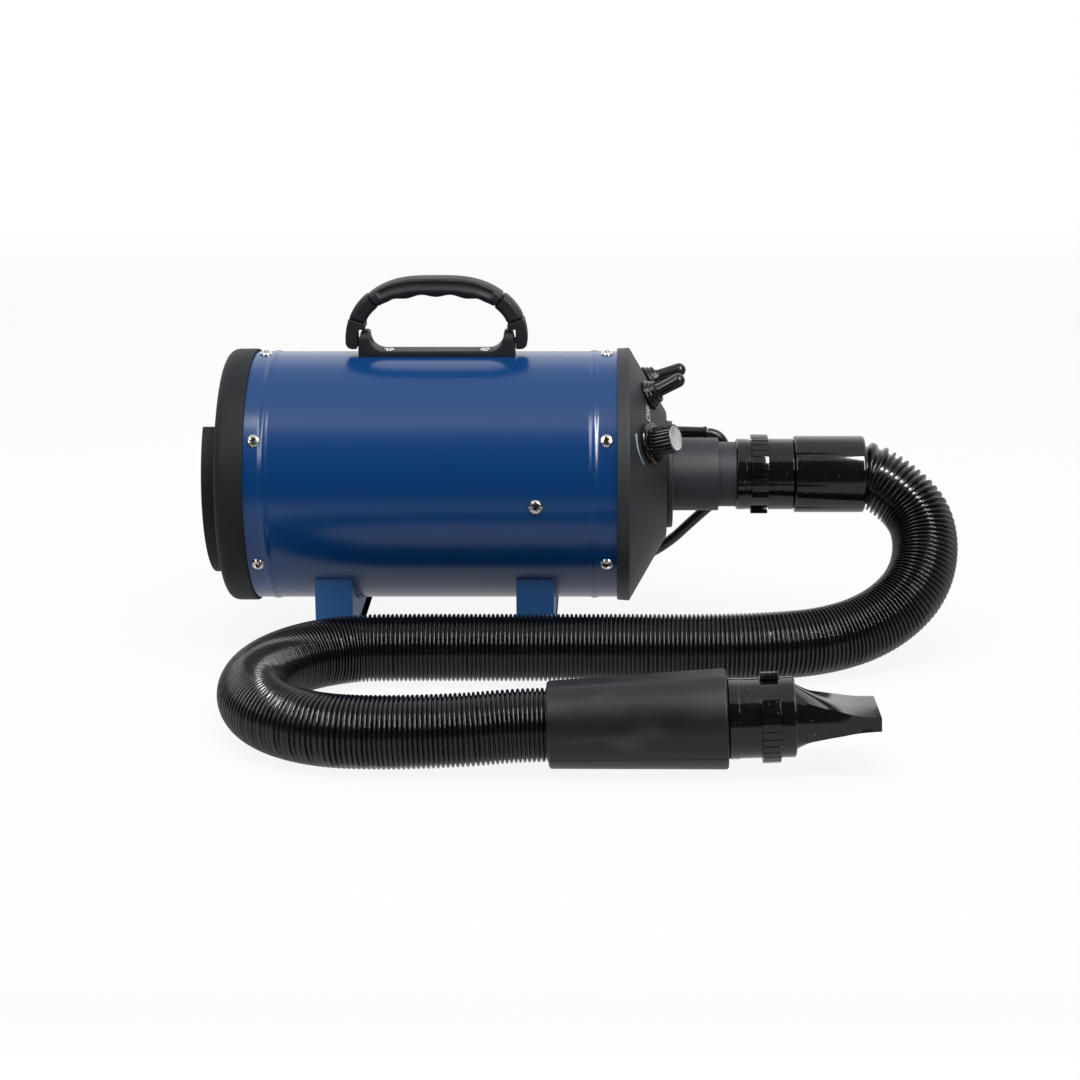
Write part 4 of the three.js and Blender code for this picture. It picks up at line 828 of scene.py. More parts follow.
def makeGrille():
    floor = cap["face"] + cap["intakeDepth"]
    rear = floor - cap["grille"]
    for number, radius in enumerate(cap["hoops"]):
        low, high = radius - 1, radius + 1
        hoop = [(rear + 0.5, low, 0.5), (rear + 0.5, high, 0.5), (floor, high), (floor, low)]
        finishPiece(f"grille_hoop_{number}", spinRound(hoop, 96), capBlack)
    hub = [(rear, 0), (rear, cap["hub"], 0.8), (floor, cap["hub"]), (floor, 0)]
    finishPiece("grille_hub", spinRound(hub, 64), capBlack)
    for number in range(cap["spokes"]):
        spoke = roundedBlock((rear, floor), (-1.5, 1.5), (cap["hub"] - 2, cap["intake"] + 1), 0.4)
        place = dryerPlace @ turnAbout("X", 360 / cap["spokes"] * number)
        finishPiece(f"grille_spoke_{number}", spoke, capBlack, place=place)


def makeFilterCover():
    rear = cap["face"] - cover["proud"]
    front = rear + cover["plate"]
    end = front + cover["skirt"]
    radius = cover["radius"]
    within = radius - cover["wall"]
    corners = [(rear, 0), (rear, radius, 1.2), (end, radius, 0.4), (end, within), (front, within), (front, 0)]
    rows = []
    for k in range(cover["louvres"]):
        height = (k - (cover["louvres"] - 1) / 2) * cover["pitch"]
        rows.append((height, math.sqrt(radius**2 - height**2) - cover["margin"]))
    slots = []
    for height, half in rows:
        tall = (height - cover["height"] / 2, height + cover["height"] / 2)
        slot = extrudeOutline(boxCorners((-half, half), tall, 2.9), 12, "x")
        slots.append(moved(slot, shift(x=rear)))
    shell = carve(spinRound(corners, 128), *slots)
    finishPiece("cover_louvred", shell, capBlack, "filter", ["filter_cover"], sharp=30)
    wide, thick, degrees = cover["vane"]
    for number, (height, half) in enumerate(rows):
        vane = roundedBlock((-wide, wide), (-half + 1, half - 1), (-thick, thick), 0.3)
        moved(vane, shift(x=front + 0.2, z=height + wide) @ turnAbout("Y", degrees))
        finishPiece(f"louvre_vane_{number}", vane, capBlack, "filter")
    start, radius, rounding = front + foamDisc["gap"], foamDisc["radius"], foamDisc["rounding"]
    disc = [(start, 0), (start, radius, rounding), (foamDisc["end"], radius, rounding), (foamDisc["end"], 0)]
    return finishPiece("foam_disc", spinRound(disc, 96), foam, "filter", ["foam_filter"])


makeCapShell()
makeCapRim()
makeGrille()
foamPiece = makeFilterCover()
print("rear end made")


# Front cone, outlet and its flange

cone = {
    "lip": 8.3,
    "lipRadius": 87,
    "base": 87.7,
    "normal": 30,
    "face": 34.13,
    "wall": 2.5,
    "bore": 25.4,
    "skirt": 11,
}
outlet = {
    "radius": 25.2,
    "sunk": 8.3,
    "flange": 37,
    "flangeThick": 3.8,
    "end": 70,
    "spigot": 22.4,
    "spigotEnd": 104,
    "bore": 20,
}
coneLean = math.radians(cone["normal"])
coneSlope = math.tan(coneLean)


# A place on the cone: X is its normal, Y runs round it upwards from the near side, Z outwards to its rim
def onCone(radius, degrees):
    angle = math.radians(degrees)
    out = Vector((0, -math.cos(angle), math.sin(angle)))
    normal = Vector((math.cos(coneLean), *(out.yz * math.sin(coneLean))))
    around = out.cross(Vector((1, 0, 0)))
    place = Matrix((normal, around, normal.cross(around))).transposed().to_4x4()
    place.translation = Vector((cone["lip"] + (cone["base"] - radius) * coneSlope, *(out.yz * radius))) * mm
    return dryerPlace @ place


def makeCone():
    top = cone["base"] - (cone["face"] - cone["lip"]) / coneSlope
    inside = cone["face"] - cone["wall"]
    wall = cone["wall"] / math.cos(coneLean)
    insideTop = cone["base"] - (inside - cone["lip"] + wall) / coneSlope
    insideBase = cone["lip"] + (cone["base"] - seat["skirtBore"]) * coneSlope - wall
    tubeStop = tubeUnderLip + fit
    corners = [
        (0, cone["lipRadius"], 0.7),
        (cone["lip"], cone["base"], 1.2),
        (cone["face"], top, 6),
        (cone["face"], cone["bore"]),
        (inside, cone["bore"]),
        (inside, insideTop),
        (insideBase, seat["skirtBore"]),
        (-cone["skirt"], seat["skirtBore"]),
        (-cone["skirt"], seat["skirt"]),
        (tubeStop, seat["skirt"]),
        (tubeStop, seat["lipBore"]),
        (0, seat["lipBore"], 0.4),
    ]
    finishPiece("cone_shell", spinRound(corners, 192), coneBlack, replaced=["front_cone"])


def makeOutlet():
    face = cone["face"] + fit
    flangeFront = face + outlet["flangeThick"]
    corners = [
        (face - outlet["sunk"], outlet["bore"]),
        (face - outlet["sunk"], outlet["radius"]),
        (face, outlet["radius"]),
        (face, outlet["flange"], 0.4),
        (flangeFront, outlet["flange"], 1.2),
        (flangeFront, outlet["radius"], 0.6),
        (outlet["end"], outlet["radius"], 0.5),
        (outlet["end"], outlet["spigot"]),
        (outlet["spigotEnd"], outlet["spigot"], 0.6),
        (outlet["spigotEnd"], outlet["bore"]),
    ]
    finishPiece("outlet_pipe", spinRound(corners, 128), outletBlack, replaced=["outlet_tube"])


makeCone()
makeOutlet()
print("front end made")


# Folded feet on rubber pads

foot = {
    "places": (("rear", -191.5), ("front", -55.4)),
    "length": 25.5,
    "reach": 64,
    "leg": 26,
    "arch": 13,
    "archRounding": 9,
    "sheet": 2,
}
footPad = {"height": 3.7, "radius": 10, "offset": 52}


# The saddle's arc below the tube, from its far side to the near one
def saddleArc(radius, reach, steps):
    side = math.degrees(math.asin(reach / radius))
    return arcPoints(radius, side - 90, -side - 90, steps)


def makeFeet():
    reach, sheet = foot["reach"], foot["sheet"]
    bottom = tableHeight + footPad["height"] + fit
    saddle = tube["radius"] + fit
    leg = reach - foot["leg"]
    top = bottom + foot["arch"]
    outline = [
        (-reach, bottom, 0.8),
        (-leg, bottom, 0.8),
        (-leg, top, foot["archRounding"]),
        (leg, top, foot["archRounding"]),
        (leg, bottom, 0.8),
        (reach, bottom, 0.8),
        *saddleArc(saddle, reach, 48),
    ]
    inside = reach - sheet
    pocket = [(-inside, bottom + sheet), (inside, bottom + sheet), *saddleArc(saddle + sheet, inside, 24)]
    high, wide = footPad["height"], footPad["radius"]
    for end, x in foot["places"]:
        bracket = extrudeOutline(outline, foot["length"], "x", rounding=1.0)
        hollow = extrudeOutline(pocket, foot["length"] - 2 * sheet, "x")
        place = dryerPlace @ shift(x=x)
        shell = carve(bracket, hollow)
        # Each foot takes the lighter blue, which is painted light
        finishPiece(f"foot_{end}_folded", shell, footCoatPaintedLight, replaced=[f"foot_bracket_{end}"], place=place)
        for near, sign in (("near", -1), ("far", 1)):
            pad = spinRound([(0, 0), (0, wide - 1, 0.8), (high, wide, 0.4), (high, 0)], 48)
            spot = place @ shift(y=sign * footPad["offset"], z=tableHeight) @ turnAbout("Y", -90)
            replaced = [f"foot_pad_{end}_{near}"]
            finishPiece(f"foot_{end}_{near}_rubber", pad, padBlack, replaced=replaced, place=spot)


makeFeet()
print("feet made")


# Pan-head screws with a cross recess that narrows downwards

screw = {"radius": 4.6, "height": 2.3, "cross": 2.9, "slot": 0.95, "recess": 1.5, "narrowed": 0.55}
rimScrews = {"rear": -240.3, "front": -6.8, "count": 6, "first": 30}
bodyScrews = {"x": -53.8, "degrees": (0, 180), "scale": 1.08}


def panHead(scale=1.0):
    radius, height = screw["radius"] * scale, screw["height"]
    outline = [
        (-0.4, 0),
        (-0.4, radius),
        (0.35, radius, 0.2),
        (height * 0.72, radius * 0.8, 1.1),
        (height, radius * 0.35, 3),
        (height, 0),
    ]
    reach = (height - screw["recess"], height + 1)
    long, wide = screw["cross"] * scale, screw["slot"] * scale
    crosses = [
        roundedBlock(reach, (-long, long), (-wide, wide)),
        roundedBlock(reach, (-wide, wide), (-long, long)),
    ]
    for bm in crosses:
        for vert in bm.verts:
            if vert.co.x < height * mm:
                vert.co.yz *= screw["narrowed"]
    head = carve(spinRound(outline, 40), *crosses)
    # The faces inside the cross recess get the second finish, which is painted shade
    for face in head.faces:
        middle = face.calc_center_median() / mm
        if 0 < middle.x < height * 0.75 and math.hypot(middle.y, middle.z) < long:
            face.material_index = 1
    return head


# A place on the tube, with X straight out of it
def onTube(x, degrees):
    out = shift(y=-tube["radius"]) @ turnAbout("Z", -90)
    return dryerPlace @ shift(x=x) @ turnAbout("X", -degrees) @ out


def addScrew(name, place, scale=1.0):
    piece = finishPiece(name, panHead(scale), steel, place=place, sharp=30)
    piece.data.materials.append(recessShade)


# Each screw has stopped at its own angle
def makeScrews():
    for end in ("rear", "front"):
        for k in range(rimScrews["count"]):
            degrees = rimScrews["first"] + 360 / rimScrews["count"] * k
            place = onTube(rimScrews[end], degrees) @ turnAbout("X", 37 * k + 20)
            addScrew(f"rim_screw_{end}_{k + 1}", place)
    for k, degrees in enumerate(bodyScrews["degrees"]):
        place = onTube(bodyScrews["x"], degrees) @ turnAbout("X", 25 + 50 * k)
        addScrew(f"body_screw_{k + 1}", place, bodyScrews["scale"])


makeScrews()
print("screws made")


# Handle: a base with an ear at each end, an arm on each ear and the grip between them.
# Heights are above the tube, from its middle

handle = {
    "middle": -123,
    "plate": 3.6,
    "saddle": 2,
    "width": 16,
    "base": 53.4,
    "ear": [(53.3, 8.5, 6), (51.4, 17.2, 1.9), (46.1, 17.2, 1.9)],
    "fillet": (45.7, 10.5),
    "swing": 8,
    "pivot": 10,
    "pinBore": 2.3,
    "screws": 32.9,
    "screwScale": 0.88,
    "armInner": 54,
    "armOuter": 61.9,
    "armBottom": 5,
    "armWidth": 16,
    "armRounding": 3.4,
    "armOutside": [(46.9, 42.2), (50, 39.7), (53.4, 36.1), (56.6, 31.7), (59.2, 26.7)],
    "armInside": [(39.6, 33.7), (43.2, 30.3), (46, 26.9), (48.1, 23)],
    "armLower": [(61.9, 16.5, 40), (59.5, 25.9, 1.1), (48.3, 22.1, 0.9), (48.5, 18.4, 1.1)],
    "core": [(58, 20), (57, 29.5), (51, 36.5), (44, 40.3), (40.6, 36.3), (46, 30), (49.5, 21)],
    "gripEnds": (46.1, 39.1),
    "gripTop": 54,
    "gripDrop": 11.7,
    "gripUnder": 41.1,
    "underCurve": (0.0022, 0.0000016),
    "fingerPitch": 20,
    "fingerDepth": 0.8,
}
# Half of the grip's section from the middle of its top, out and down. Its side is scooped between plain ends
scoopedHalf = [(0, 0), (4.5, 0.1), (7.4, 0.4), (8.4, 0.9), (8.75, 1.6), (8.35, 2.4), (8.1, 3.4), (8.3, 4.7)]
scoopedHalf += [(8.85, 6), (9.5, 7.1), (9.9, 7.9), (9.8, 8.8), (9.1, 10.2), (7.4, 11.7), (5, 12.6)]
scoopedHalf += [(2.5, 12.95), (0, 13)]
plainHalf = [(0, 0), (4.5, 0.1), (7.4, 0.4), (8.6, 0.95), (9.1, 1.7), (9.4, 2.5), (9.6, 3.5), (9.75, 4.7)]
plainHalf += [(9.85, 6), (9.9, 7.1), *scoopedHalf[10:]]
handlePlace = dryerPlace @ shift(x=handle["middle"], z=tube["radius"])


def mirrored(corners):
    return [(-corner[0], *corner[1:]) for corner in reversed(corners)]


def makeHandleBase():
    plate, pivot, past = handle["plate"], handle["pivot"], 80
    inner, bend = handle["fillet"]
    fillet = arcPoints(bend, 0, -90, 12, (inner - bend, plate + bend))
    half = [(handle["base"], -handle["saddle"], 0.8), *handle["ear"], *fillet]
    body = extrudeOutline([*half, *mirrored(half)], handle["width"], rounding=1.0)
    saddle = moved(rod(-past, past, tube["radius"] + fit, 192), shift(z=-tube["radius"]))
    pinBore = moved(rod(-past, past, handle["pinBore"], 24), shift(z=pivot))
    swing = roundedBlock((-past, past), (-12, 12), (pivot, handle["ear"][1][1] + 5))
    swing = carve(swing, moved(rod(-past - 10, past + 10, handle["swing"], 96), shift(z=pivot)))
    cups = []
    for sign in (-1, 1):
        floor, top = plate - 1.6, plate + 1
        outline = [(floor, 0), (floor, 4.2, 0.3), (plate - 0.4, 4.2), (top, 5.6), (top, 0)]
        place = shift(x=sign * handle["screws"]) @ turnAbout("Y", -90)
        cups.append(moved(spinRound(outline, 48), place))
    body = carve(body, saddle, pinBore, swing, *cups)
    finishPiece("handle_saddle", body, handleBlack, replaced=["handle_base"], place=handlePlace, sharp=32)
    for number, sign in enumerate((-1, 1)):
        place = handlePlace @ shift(x=sign * handle["screws"], z=plate - 1.4)
        place = place @ turnAbout("Y", -90) @ turnAbout("X", 30 * sign)
        head = panHead(handle["screwScale"])
        finishPiece(f"handle_screw_{number + 1}", head, steel, place=place, sharp=30)


def alongLine(corners):
    points = evenPoints(smoothLine([(x, 0, z) for x, z in corners]), 40)

    def at(share):
        k = min(int(share * 40), 39)
        return points[k].lerp(points[k + 1], share * 40 - k)

    return at


def makeHandleArms():
    inner, width = handle["armInner"], handle["armWidth"]
    lower = [
        (inner, handle["armBottom"], 1.2),
        (handle["armOuter"], handle["armBottom"], 4.6),
        *handle["armLower"],
        (inner, handle["armLower"][-1][1], 0.5),
    ]

    def section(share, depth):
        corners = boxCorners((-width / 2, width / 2), (0, depth), handle["armRounding"])
        return [tuple(point) for point in roundCorners(corners, 6)]

    for side, sign in (("rear", -1), ("front", 1)):
        shape = lower if sign > 0 else mirrored(lower)
        block = extrudeOutline(shape, width, rounding=1.9, segments=5)
        bore = rod(*sorted([sign * (inner - 1), sign * (inner + 5.8)]), handle["pinBore"], 24)
        block = carve(block, moved(bore, shift(z=handle["pivot"])))
        replaced = [f"handle_arm_{side}"]
        finishPiece(f"arm_{side}_lower", block, handleBlack, "handle", replaced, handlePlace, 32)
        outside = alongLine([(sign * x, z) for x, z in handle["armOutside"]])
        within = alongLine([(sign * x, z) for x, z in handle["armInside"]])
        upper = loftBetween(outside, within, section, 24)
        finishPiece(f"arm_{side}_upper", upper, handleBlack, "handle", place=handlePlace, sharp=40)
        core = extrudeOutline(handle["core"] if sign > 0 else mirrored(handle["core"]), 12)
        finishPiece(f"arm_{side}_core", core, handleBlack, "handle", place=handlePlace)


def makeHandleGrip():
    topEnd, underEnd = handle["gripEnds"]
    square, fourth = handle["underCurve"]

    def top(share):
        x = (2 * share - 1) * topEnd
        return Vector((x, 0, handle["gripTop"] - handle["gripDrop"] * abs(x / topEnd) ** 3.1))

    def under(share):
        x = (2 * share - 1) * underEnd
        return Vector((x, 0, handle["gripUnder"] - square * x**2 - fourth * x**4))

    def section(share, depth):
        scoop = 1 - eased(0.868, 0.9, abs(2 * share - 1))
        x = (2 * share - 1) * underEnd
        wave = handle["fingerDepth"] * math.cos(math.tau * x / handle["fingerPitch"])
        wave *= 1 - eased(27, 34, abs(x))
        half = []
        for first, second in zip(plainHalf, scoopedHalf):
            down = between(first[1], second[1], scoop)
            y = between(first[0], second[0], scoop)
            half.append(Vector((y, down * depth / 13 + wave * eased(8.5, 12.5, down), 0)))
        right = [(point.x, point.y) for point in evenPoints(smoothLine(half), 36)]
        return right + [(-y, down) for y, down in reversed(right[1:-1])]

    body = loftBetween(top, under, section, 120)
    finishPiece("grip_ribbed_under", body, handleBlack, "handle", ["handle_grip"], handlePlace, 50)


makeHandleBase()
makeHandleArms()
makeHandleGrip()
print("handle made")


# Toggle switches: a stepped rubber collar with a round-ended boot on its lever

toggle = {
    "radius": 65,
    "degrees": {"near": 70, "far": 110},
    "tilt": {"near": -2, "far": 13},
    "pivot": 5,
    "base": 10.5,
    "step": 9.1,
    "collar": 7.9,
    "collarTop": 7.5,
    "mouth": 6.7,
    "ball": 4.4,
    "play": 0.75,
    "neck": 4.5,
    "tip": 4.75,
    "top": 23,
}


def makeToggle(side, degrees):
    base, step, ball, tip = toggle["base"], toggle["step"], toggle["ball"], toggle["tip"]
    place = onCone(toggle["radius"], degrees)
    collarOutline = [
        (fit, ball + toggle["play"]),
        (fit, base - 0.3, 0.3),
        (1.1, base, 0.5),
        (2.3, base - 0.1, 0.7),
        (2.5, step + 0.1, 0.3),
        (3.3, step, 0.4),
        (4.5, step - 0.1, 0.9),
        (4.7, toggle["collar"], 0.4),
        (toggle["collarTop"] - 0.2, toggle["collar"] - 0.4, 0.5),
        (toggle["collarTop"], toggle["mouth"], 0.2),
        (toggle["pivot"], ball + toggle["play"]),
    ]
    ring = spinRound(collarOutline, 96)
    finishPiece(f"toggle_collar_{side}", ring, bootBlack, replaced=[f"toggle_nut_{side}"], place=place)
    root = ball * math.sqrt(0.5)
    lever = [
        (-ball, 0),
        (-root, root, 1.5),
        (0, ball + 0.2, 2),
        (2.4, toggle["neck"] + 0.5, 0.8),
        (3.6, toggle["neck"], 0.8),
        *arcPoints(tip, 90, 0, 8, (toggle["top"] - tip, 0)),
    ]
    leverPlace = place @ shift(x=toggle["pivot"]) @ turnAbout("Y", toggle["tilt"][side])
    boot, replaced = spinRound(lever, 64), [f"toggle_boot_{side}"]
    finishPiece(f"lever_boot_{side}", boot, bootBlack, f"switch_{side}", replaced, leverPlace, 40)


for side, degrees in toggle["degrees"].items():
    makeToggle(side, degrees)


# Heat dial: a dished skirt, a ribbed knob and a spun cap, and the printing round it

dial = {
    "radius": 63.3,
    "degrees": 34,
    "skirt": 14.2,
    "lift": 1.3,
    "bore": 3.3,
    "boreDepth": 9.3,
    "base": 4.2,
    "knob": 9.9,
    "ribs": 24,
    "ribDepth": 1.1,
    "length": 15.1,
    "cap": 8.7,
    "capThick": 1.5,
}
dialPlace = onCone(dial["radius"], dial["degrees"])
dialCapStart = dial["base"] + dial["length"] - dial["capThick"] + 0.3


def makeDialSkirt():
    lift, skirt, bore = dial["lift"], dial["skirt"], dial["bore"]
    dish = [
        (lift, bore),
        (lift, skirt - 0.4, 0.3),
        (lift + 0.9, skirt, 0.4),
        (lift + 1.6, skirt - 0.6, 0.4),
        (lift + 1.6, skirt - 2.4, 2),
        (lift + 2.5, 9, 1),
        (lift + 2.5, bore),
    ]
    finishPiece("dial_skirt_dished", spinRound(dish, 128), glossBlack, "dial", ["knob_skirt"], dialPlace, 40)


# Each ring of the knob: its height, the ribs' share of their depth, and how much it stands out
def makeDialKnob():
    base, length, ribs, capHole = dial["base"], dial["length"], dial["ribs"], dial["cap"] + 0.15
    steps = ribs * 8
    rings = [(0, 0.3, 0.1), (0.5, 0.9, 0.3), (2, 1, 0.1), (length - 0.5, 1, -0.1), (length, 0.3, -0.4)]
    loops = []
    for height, depth, grow in rings:
        loop = []
        for k in range(steps):
            angle = math.tau * k / steps
            wave = abs(math.sin(angle * ribs / 2)) ** 0.7
            radius = dial["knob"] + grow - dial["ribDepth"] * depth * (1 - wave)
            loop.append(Vector((base + height, radius * math.cos(angle), radius * math.sin(angle))) * mm)
        loops.append(loop)
    shaftHole = rod(base - 1, base + dial["boreDepth"], dial["bore"], 32)
    capSeat = rod(dialCapStart - 0.2, dialCapStart + 3, capHole, 96)
    knob = carve(bridgeLoops(loops), shaftHole, capSeat)
    finishPiece("knob_fluted", knob, glossBlack, "dial", ["speed_knob"], dialPlace, 35)


# The cap's UV map runs round it and outwards, as a lathe's marks do
def makeDialCap():
    start, end, radius = dialCapStart, dialCapStart + dial["capThick"], dial["cap"]
    rings = [
        (start, 0),
        (start, radius - 0.3, 0.2),
        (start + 0.5, radius, 0.3),
        (end, radius - 0.35, 0.3),
        (end - 0.05, radius - 1.1, 0.1),
        (end - 0.25, radius - 1.4, 0.2),
        (end - 0.2, 0),
    ]
    piece = finishPiece("cap_spun", spinRound(rings, 96), silver, "dial", ["knob_cap"], dialPlace, 30)
    turned = piece.data.uv_layers.new(name="turned").data
    middle = dialPlace.inverted()
    for loop in piece.data.loops:
        local = middle @ piece.data.vertices[loop.vertex_index].co
        around = math.atan2(local.z, local.y) / math.tau + 0.5
        turned[loop.index].uv = (around, math.hypot(local.y, local.z) / (radius * mm))
    for face in piece.data.polygons:
        around = [turned[k].uv.x for k in face.loop_indices]
        if max(around) - min(around) > 0.5:
            for k in face.loop_indices:
                if turned[k].uv.x < 0.5:
                    turned[k].uv.x += 1


makeDialSkirt()
makeDialKnob()
makeDialCap()

printing = {
    "lift": 0.04,
    "thick": 0.05,
    "word": {"radius": 65.4, "degrees": 53.3, "height": 7.3, "bolder": 0.12, "text": "OFF"},
    "arc": {"radius": 19.1, "from": 2.5, "to": -65.5, "wide": (2.7, 0.4), "steps": 48},
    # radius, degrees, length and width of each
    "redMarks": [(78.7, 68.9, 4.2, 0.65), (76.9, 71.6, 4.2, 0.65), (51.8, 69.2, 4.4, 0.7)],
}


def flatMark(outline):
    bm = bmesh.new()
    face = bm.faces.new([bm.verts.new((x * mm, y * mm, printing["lift"] * mm)) for x, y in outline])
    pushOut(bm, face, (0, 0, printing["thick"] * mm))
    return bm


# Lays a flat mark on the cone: its own X runs round the cone upwards and its Y outwards to the rim
def layOnCone(name, bm, radius, degrees, ink):
    for vert in bm.verts:
        along, out, lift = vert.co / mm
        spot = radius + out * math.cos(coneLean)
        vert.co = onCone(spot, degrees + math.degrees(along / spot)) @ Vector((lift * mm, 0, 0))
    bmesh.ops.recalc_face_normals(bm, faces=bm.faces)
    finishPiece(name, bm, ink, place=Matrix())


def printWord():
    word = printing["word"]
    data = bpy.data.curves.new("word", "FONT")
    data.body = word["text"]
    data.size = word["height"] * mm
    data.offset = word["bolder"] * mm
    data.extrude = printing["thick"] * mm / 2
    data.align_x = "CENTER"
    data.align_y = "CENTER"
    text = bpy.data.objects.new("word", data)
    scene.collection.objects.link(text)
    bpy.context.view_layer.update()
    bm = bmesh.new()
    bm.from_mesh(text.to_mesh())
    bpy.data.objects.remove(text)
    bmesh.ops.remove_doubles(bm, verts=bm.verts, dist=0.000001)
    moved(bm, shift(z=printing["lift"] + printing["thick"] / 2))
    layOnCone("off_word", bm, word["radius"], word["degrees"], whiteInk)


def printMarks():
    arc = printing["arc"]
    outer, inner = [], []
    for k in range(arc["steps"] + 1):
        share = k / arc["steps"]
        angle = math.radians(between(arc["from"], arc["to"], share))
        half = between(*arc["wide"], share) / 2
        for edge, radius in ((outer, arc["radius"] + half), (inner, arc["radius"] - half)):
            edge.append((radius * math.sin(angle), radius * math.cos(angle)))
    layOnCone("heat_arc", flatMark([*outer, *reversed(inner)]), dial["radius"], dial["degrees"], paleBlueInk)
    for number, (radius, degrees, long, wide) in enumerate(printing["redMarks"]):
        bar = [(x, y) for x, y, rounding in boxCorners((-wide / 2, wide / 2), (-long / 2, long / 2))]
        layOnCone(f"red_mark_{number + 1}", flatMark(bar), radius, degrees, redInk)


printWord()
printMarks()
print("switches, dial and printing made")


# Cable gland, tapered to a lip where the lead comes out

gland = {"end": 64, "sunk": 12, "stem": 4.6, "nut": 8.6, "root": 5.2, "barrel": 4.4, "lip": 4.9, "mouth": 4.2}


def makeGland():
    face, end = cone["face"], gland["end"]
    corners = [
        (face - gland["sunk"], 0),
        (face - gland["sunk"], gland["stem"]),
        (face + 0.4, gland["stem"]),
        (face + 0.4, gland["nut"], 0.4),
        (face + 2.6, gland["nut"], 0.9),
        (face + 3.2, gland["root"], 0.8),
        (end - 3.4, gland["barrel"], 1),
        (end - 2.6, gland["lip"], 0.4),
        (end - 0.6, gland["lip"], 0.5),
        (end, gland["mouth"], 0.3),
        (end, 0),
    ]
    place = dryerPlace @ shift(y=lead["exit"][1], z=lead["exit"][2])
    finishPiece("gland_tapered", spinRound(corners, 64), glossBlack, replaced=["cable_gland"], place=place)


makeGland()


# Hose connector and nozzle collar: a sleeve with a groove, and two ribbed pads in it

sleeve = {"bore": 17.2, "stepped": 0.25}
catch = {
    "outer": 27.4,
    "inner": 24.7,
    "span": 138,
    "facets": 13,
    "groove": 0.6,
    "grooveAngles": (0.014, 0.004),  # radians from its middle to its edge and to its floor
    "corner": (1.1, 0.03),  # how much lower it is at its end, and for how many radians
}
connector = {
    "start": 82.2,
    "end": 122.1,
    "radius": 24.5,
    "groove": 23.5,
    "pads": (92.5, 104),
    "padDegrees": 46.5,
    "socket": (104.3, 22.7),
}
cuff = {
    "start": 122.4,
    "end": 171,
    "radius": 26.5,
    "socket": 22.9,
    "socketStart": 126.2,
    "flutes": 4,
    "fluteRadius": 2.5,
    "fluteDepth": 0.8,
    "fluteShort": 3,
}
grip = {
    "rear": 26.5,
    "front": 30.4,
    "length": 107.9,
    "socket": 46,
    "mouth": (25.2, 24.9),
    "mouthDepth": 1.2,
    "flat": 17,
    "flatDepth": 0.8,
    "seams": (-32, 148),
    "place": (-41.6, -254.5),
}
collar = {
    "start": 108.2,
    "end": 148.8,
    "radius": 24.4,
    "groove": 23.4,
    "pads": (128.4, 139.3),
    "padDegrees": -25,
}
nozzle = {
    "shank": 19.5,
    "radius": 20,
    "length": 50,
    "tip": (25, 4.35),
    "wall": (1.8, 1.5),
    "roll": -5,
    "stations": 40,
    "steps": 14,
}
gripTilt = math.asin((grip["front"] - grip["rear"]) / grip["length"])
gripHeight = 0.2 + tableHeight + grip["rear"] / math.cos(gripTilt)
gripLean = Matrix.Rotation(-gripTilt, 4, "Y")
gripPlace = dryerPlace @ shift(*grip["place"], gripHeight) @ gripLean


def makeSleeve(size, inside):
    start, end, radius, groove = size["start"], size["end"], size["radius"], size["groove"]
    low, high = size["pads"][0] - 0.7, size["pads"][1] + 0.7
    stepped = radius - sleeve["stepped"]
    outside = [
        (start, radius - 0.9, 0.3),
        (start + 0.9, radius, 0.4),
        (start + 6.6, radius, 0.2),
        (start + 6.9, stepped, 0.1),
        (start + 7.2, stepped),
        (low, stepped, 0.15),
        (low, groove),
        (high, groove),
        (high, radius, 0.15),
        (end - 0.9, radius, 0.4),
        (end, radius - 0.9, 0.3),
    ]
    return spinRound([*outside, *inside], 160)


# A pad drawn about straight up, its back flat-faceted with a fine groove between the facets
def makePad(length):
    span = math.radians(catch["span"])
    first = math.pi / 2 - span / 2
    last = first + span
    outer = catch["outer"]
    lower, lean = catch["corner"]
    edge, floor = catch["grooveAngles"]
    spots = [(first, outer - lower), (first + lean, outer)]
    for k in range(1, catch["facets"]):
        angle = first + span * k / catch["facets"]
        deep = outer - catch["groove"]
        spots += [(angle - edge, outer), (angle - floor, deep), (angle + floor, deep), (angle + edge, outer)]
    spots += [(last - lean, outer), (last, outer - lower)]
    outline = [(radius * math.cos(angle), radius * math.sin(angle)) for angle, radius in spots]
    outline += arcPoints(catch["inner"], math.degrees(last), math.degrees(first), 40)
    return extrudeOutline(outline, length, "x", rounding=0.5)


def makePads(size, prefix, place):
    low, high = size["pads"]
    pads = []
    for side, turn in (("near", 0), ("far", 180)):
        name = f"{prefix}_catch_{side}"
        spot = place @ shift(x=(low + high) / 2) @ turnAbout("X", 90 - size["padDegrees"] + turn)
        replaced = [f"{prefix}_pad_{side}"]
        pads.append(finishPiece(name, makePad(high - low), glossBlack, name, replaced, spot, 25))
    return pads


def makeConnector():
    start, bore = connector["start"], sleeve["bore"]
    stop, wide = connector["socket"]
    shell = makeSleeve(connector, [(connector["end"], bore), (stop, bore), (stop, wide), (start, wide)])
    tubePiece = finishPiece("connector_sleeve", shell, glossBlack, replaced=["hose_connector"], sharp=30)
    return [tubePiece, *makePads(connector, "connector", dryerPlace)]


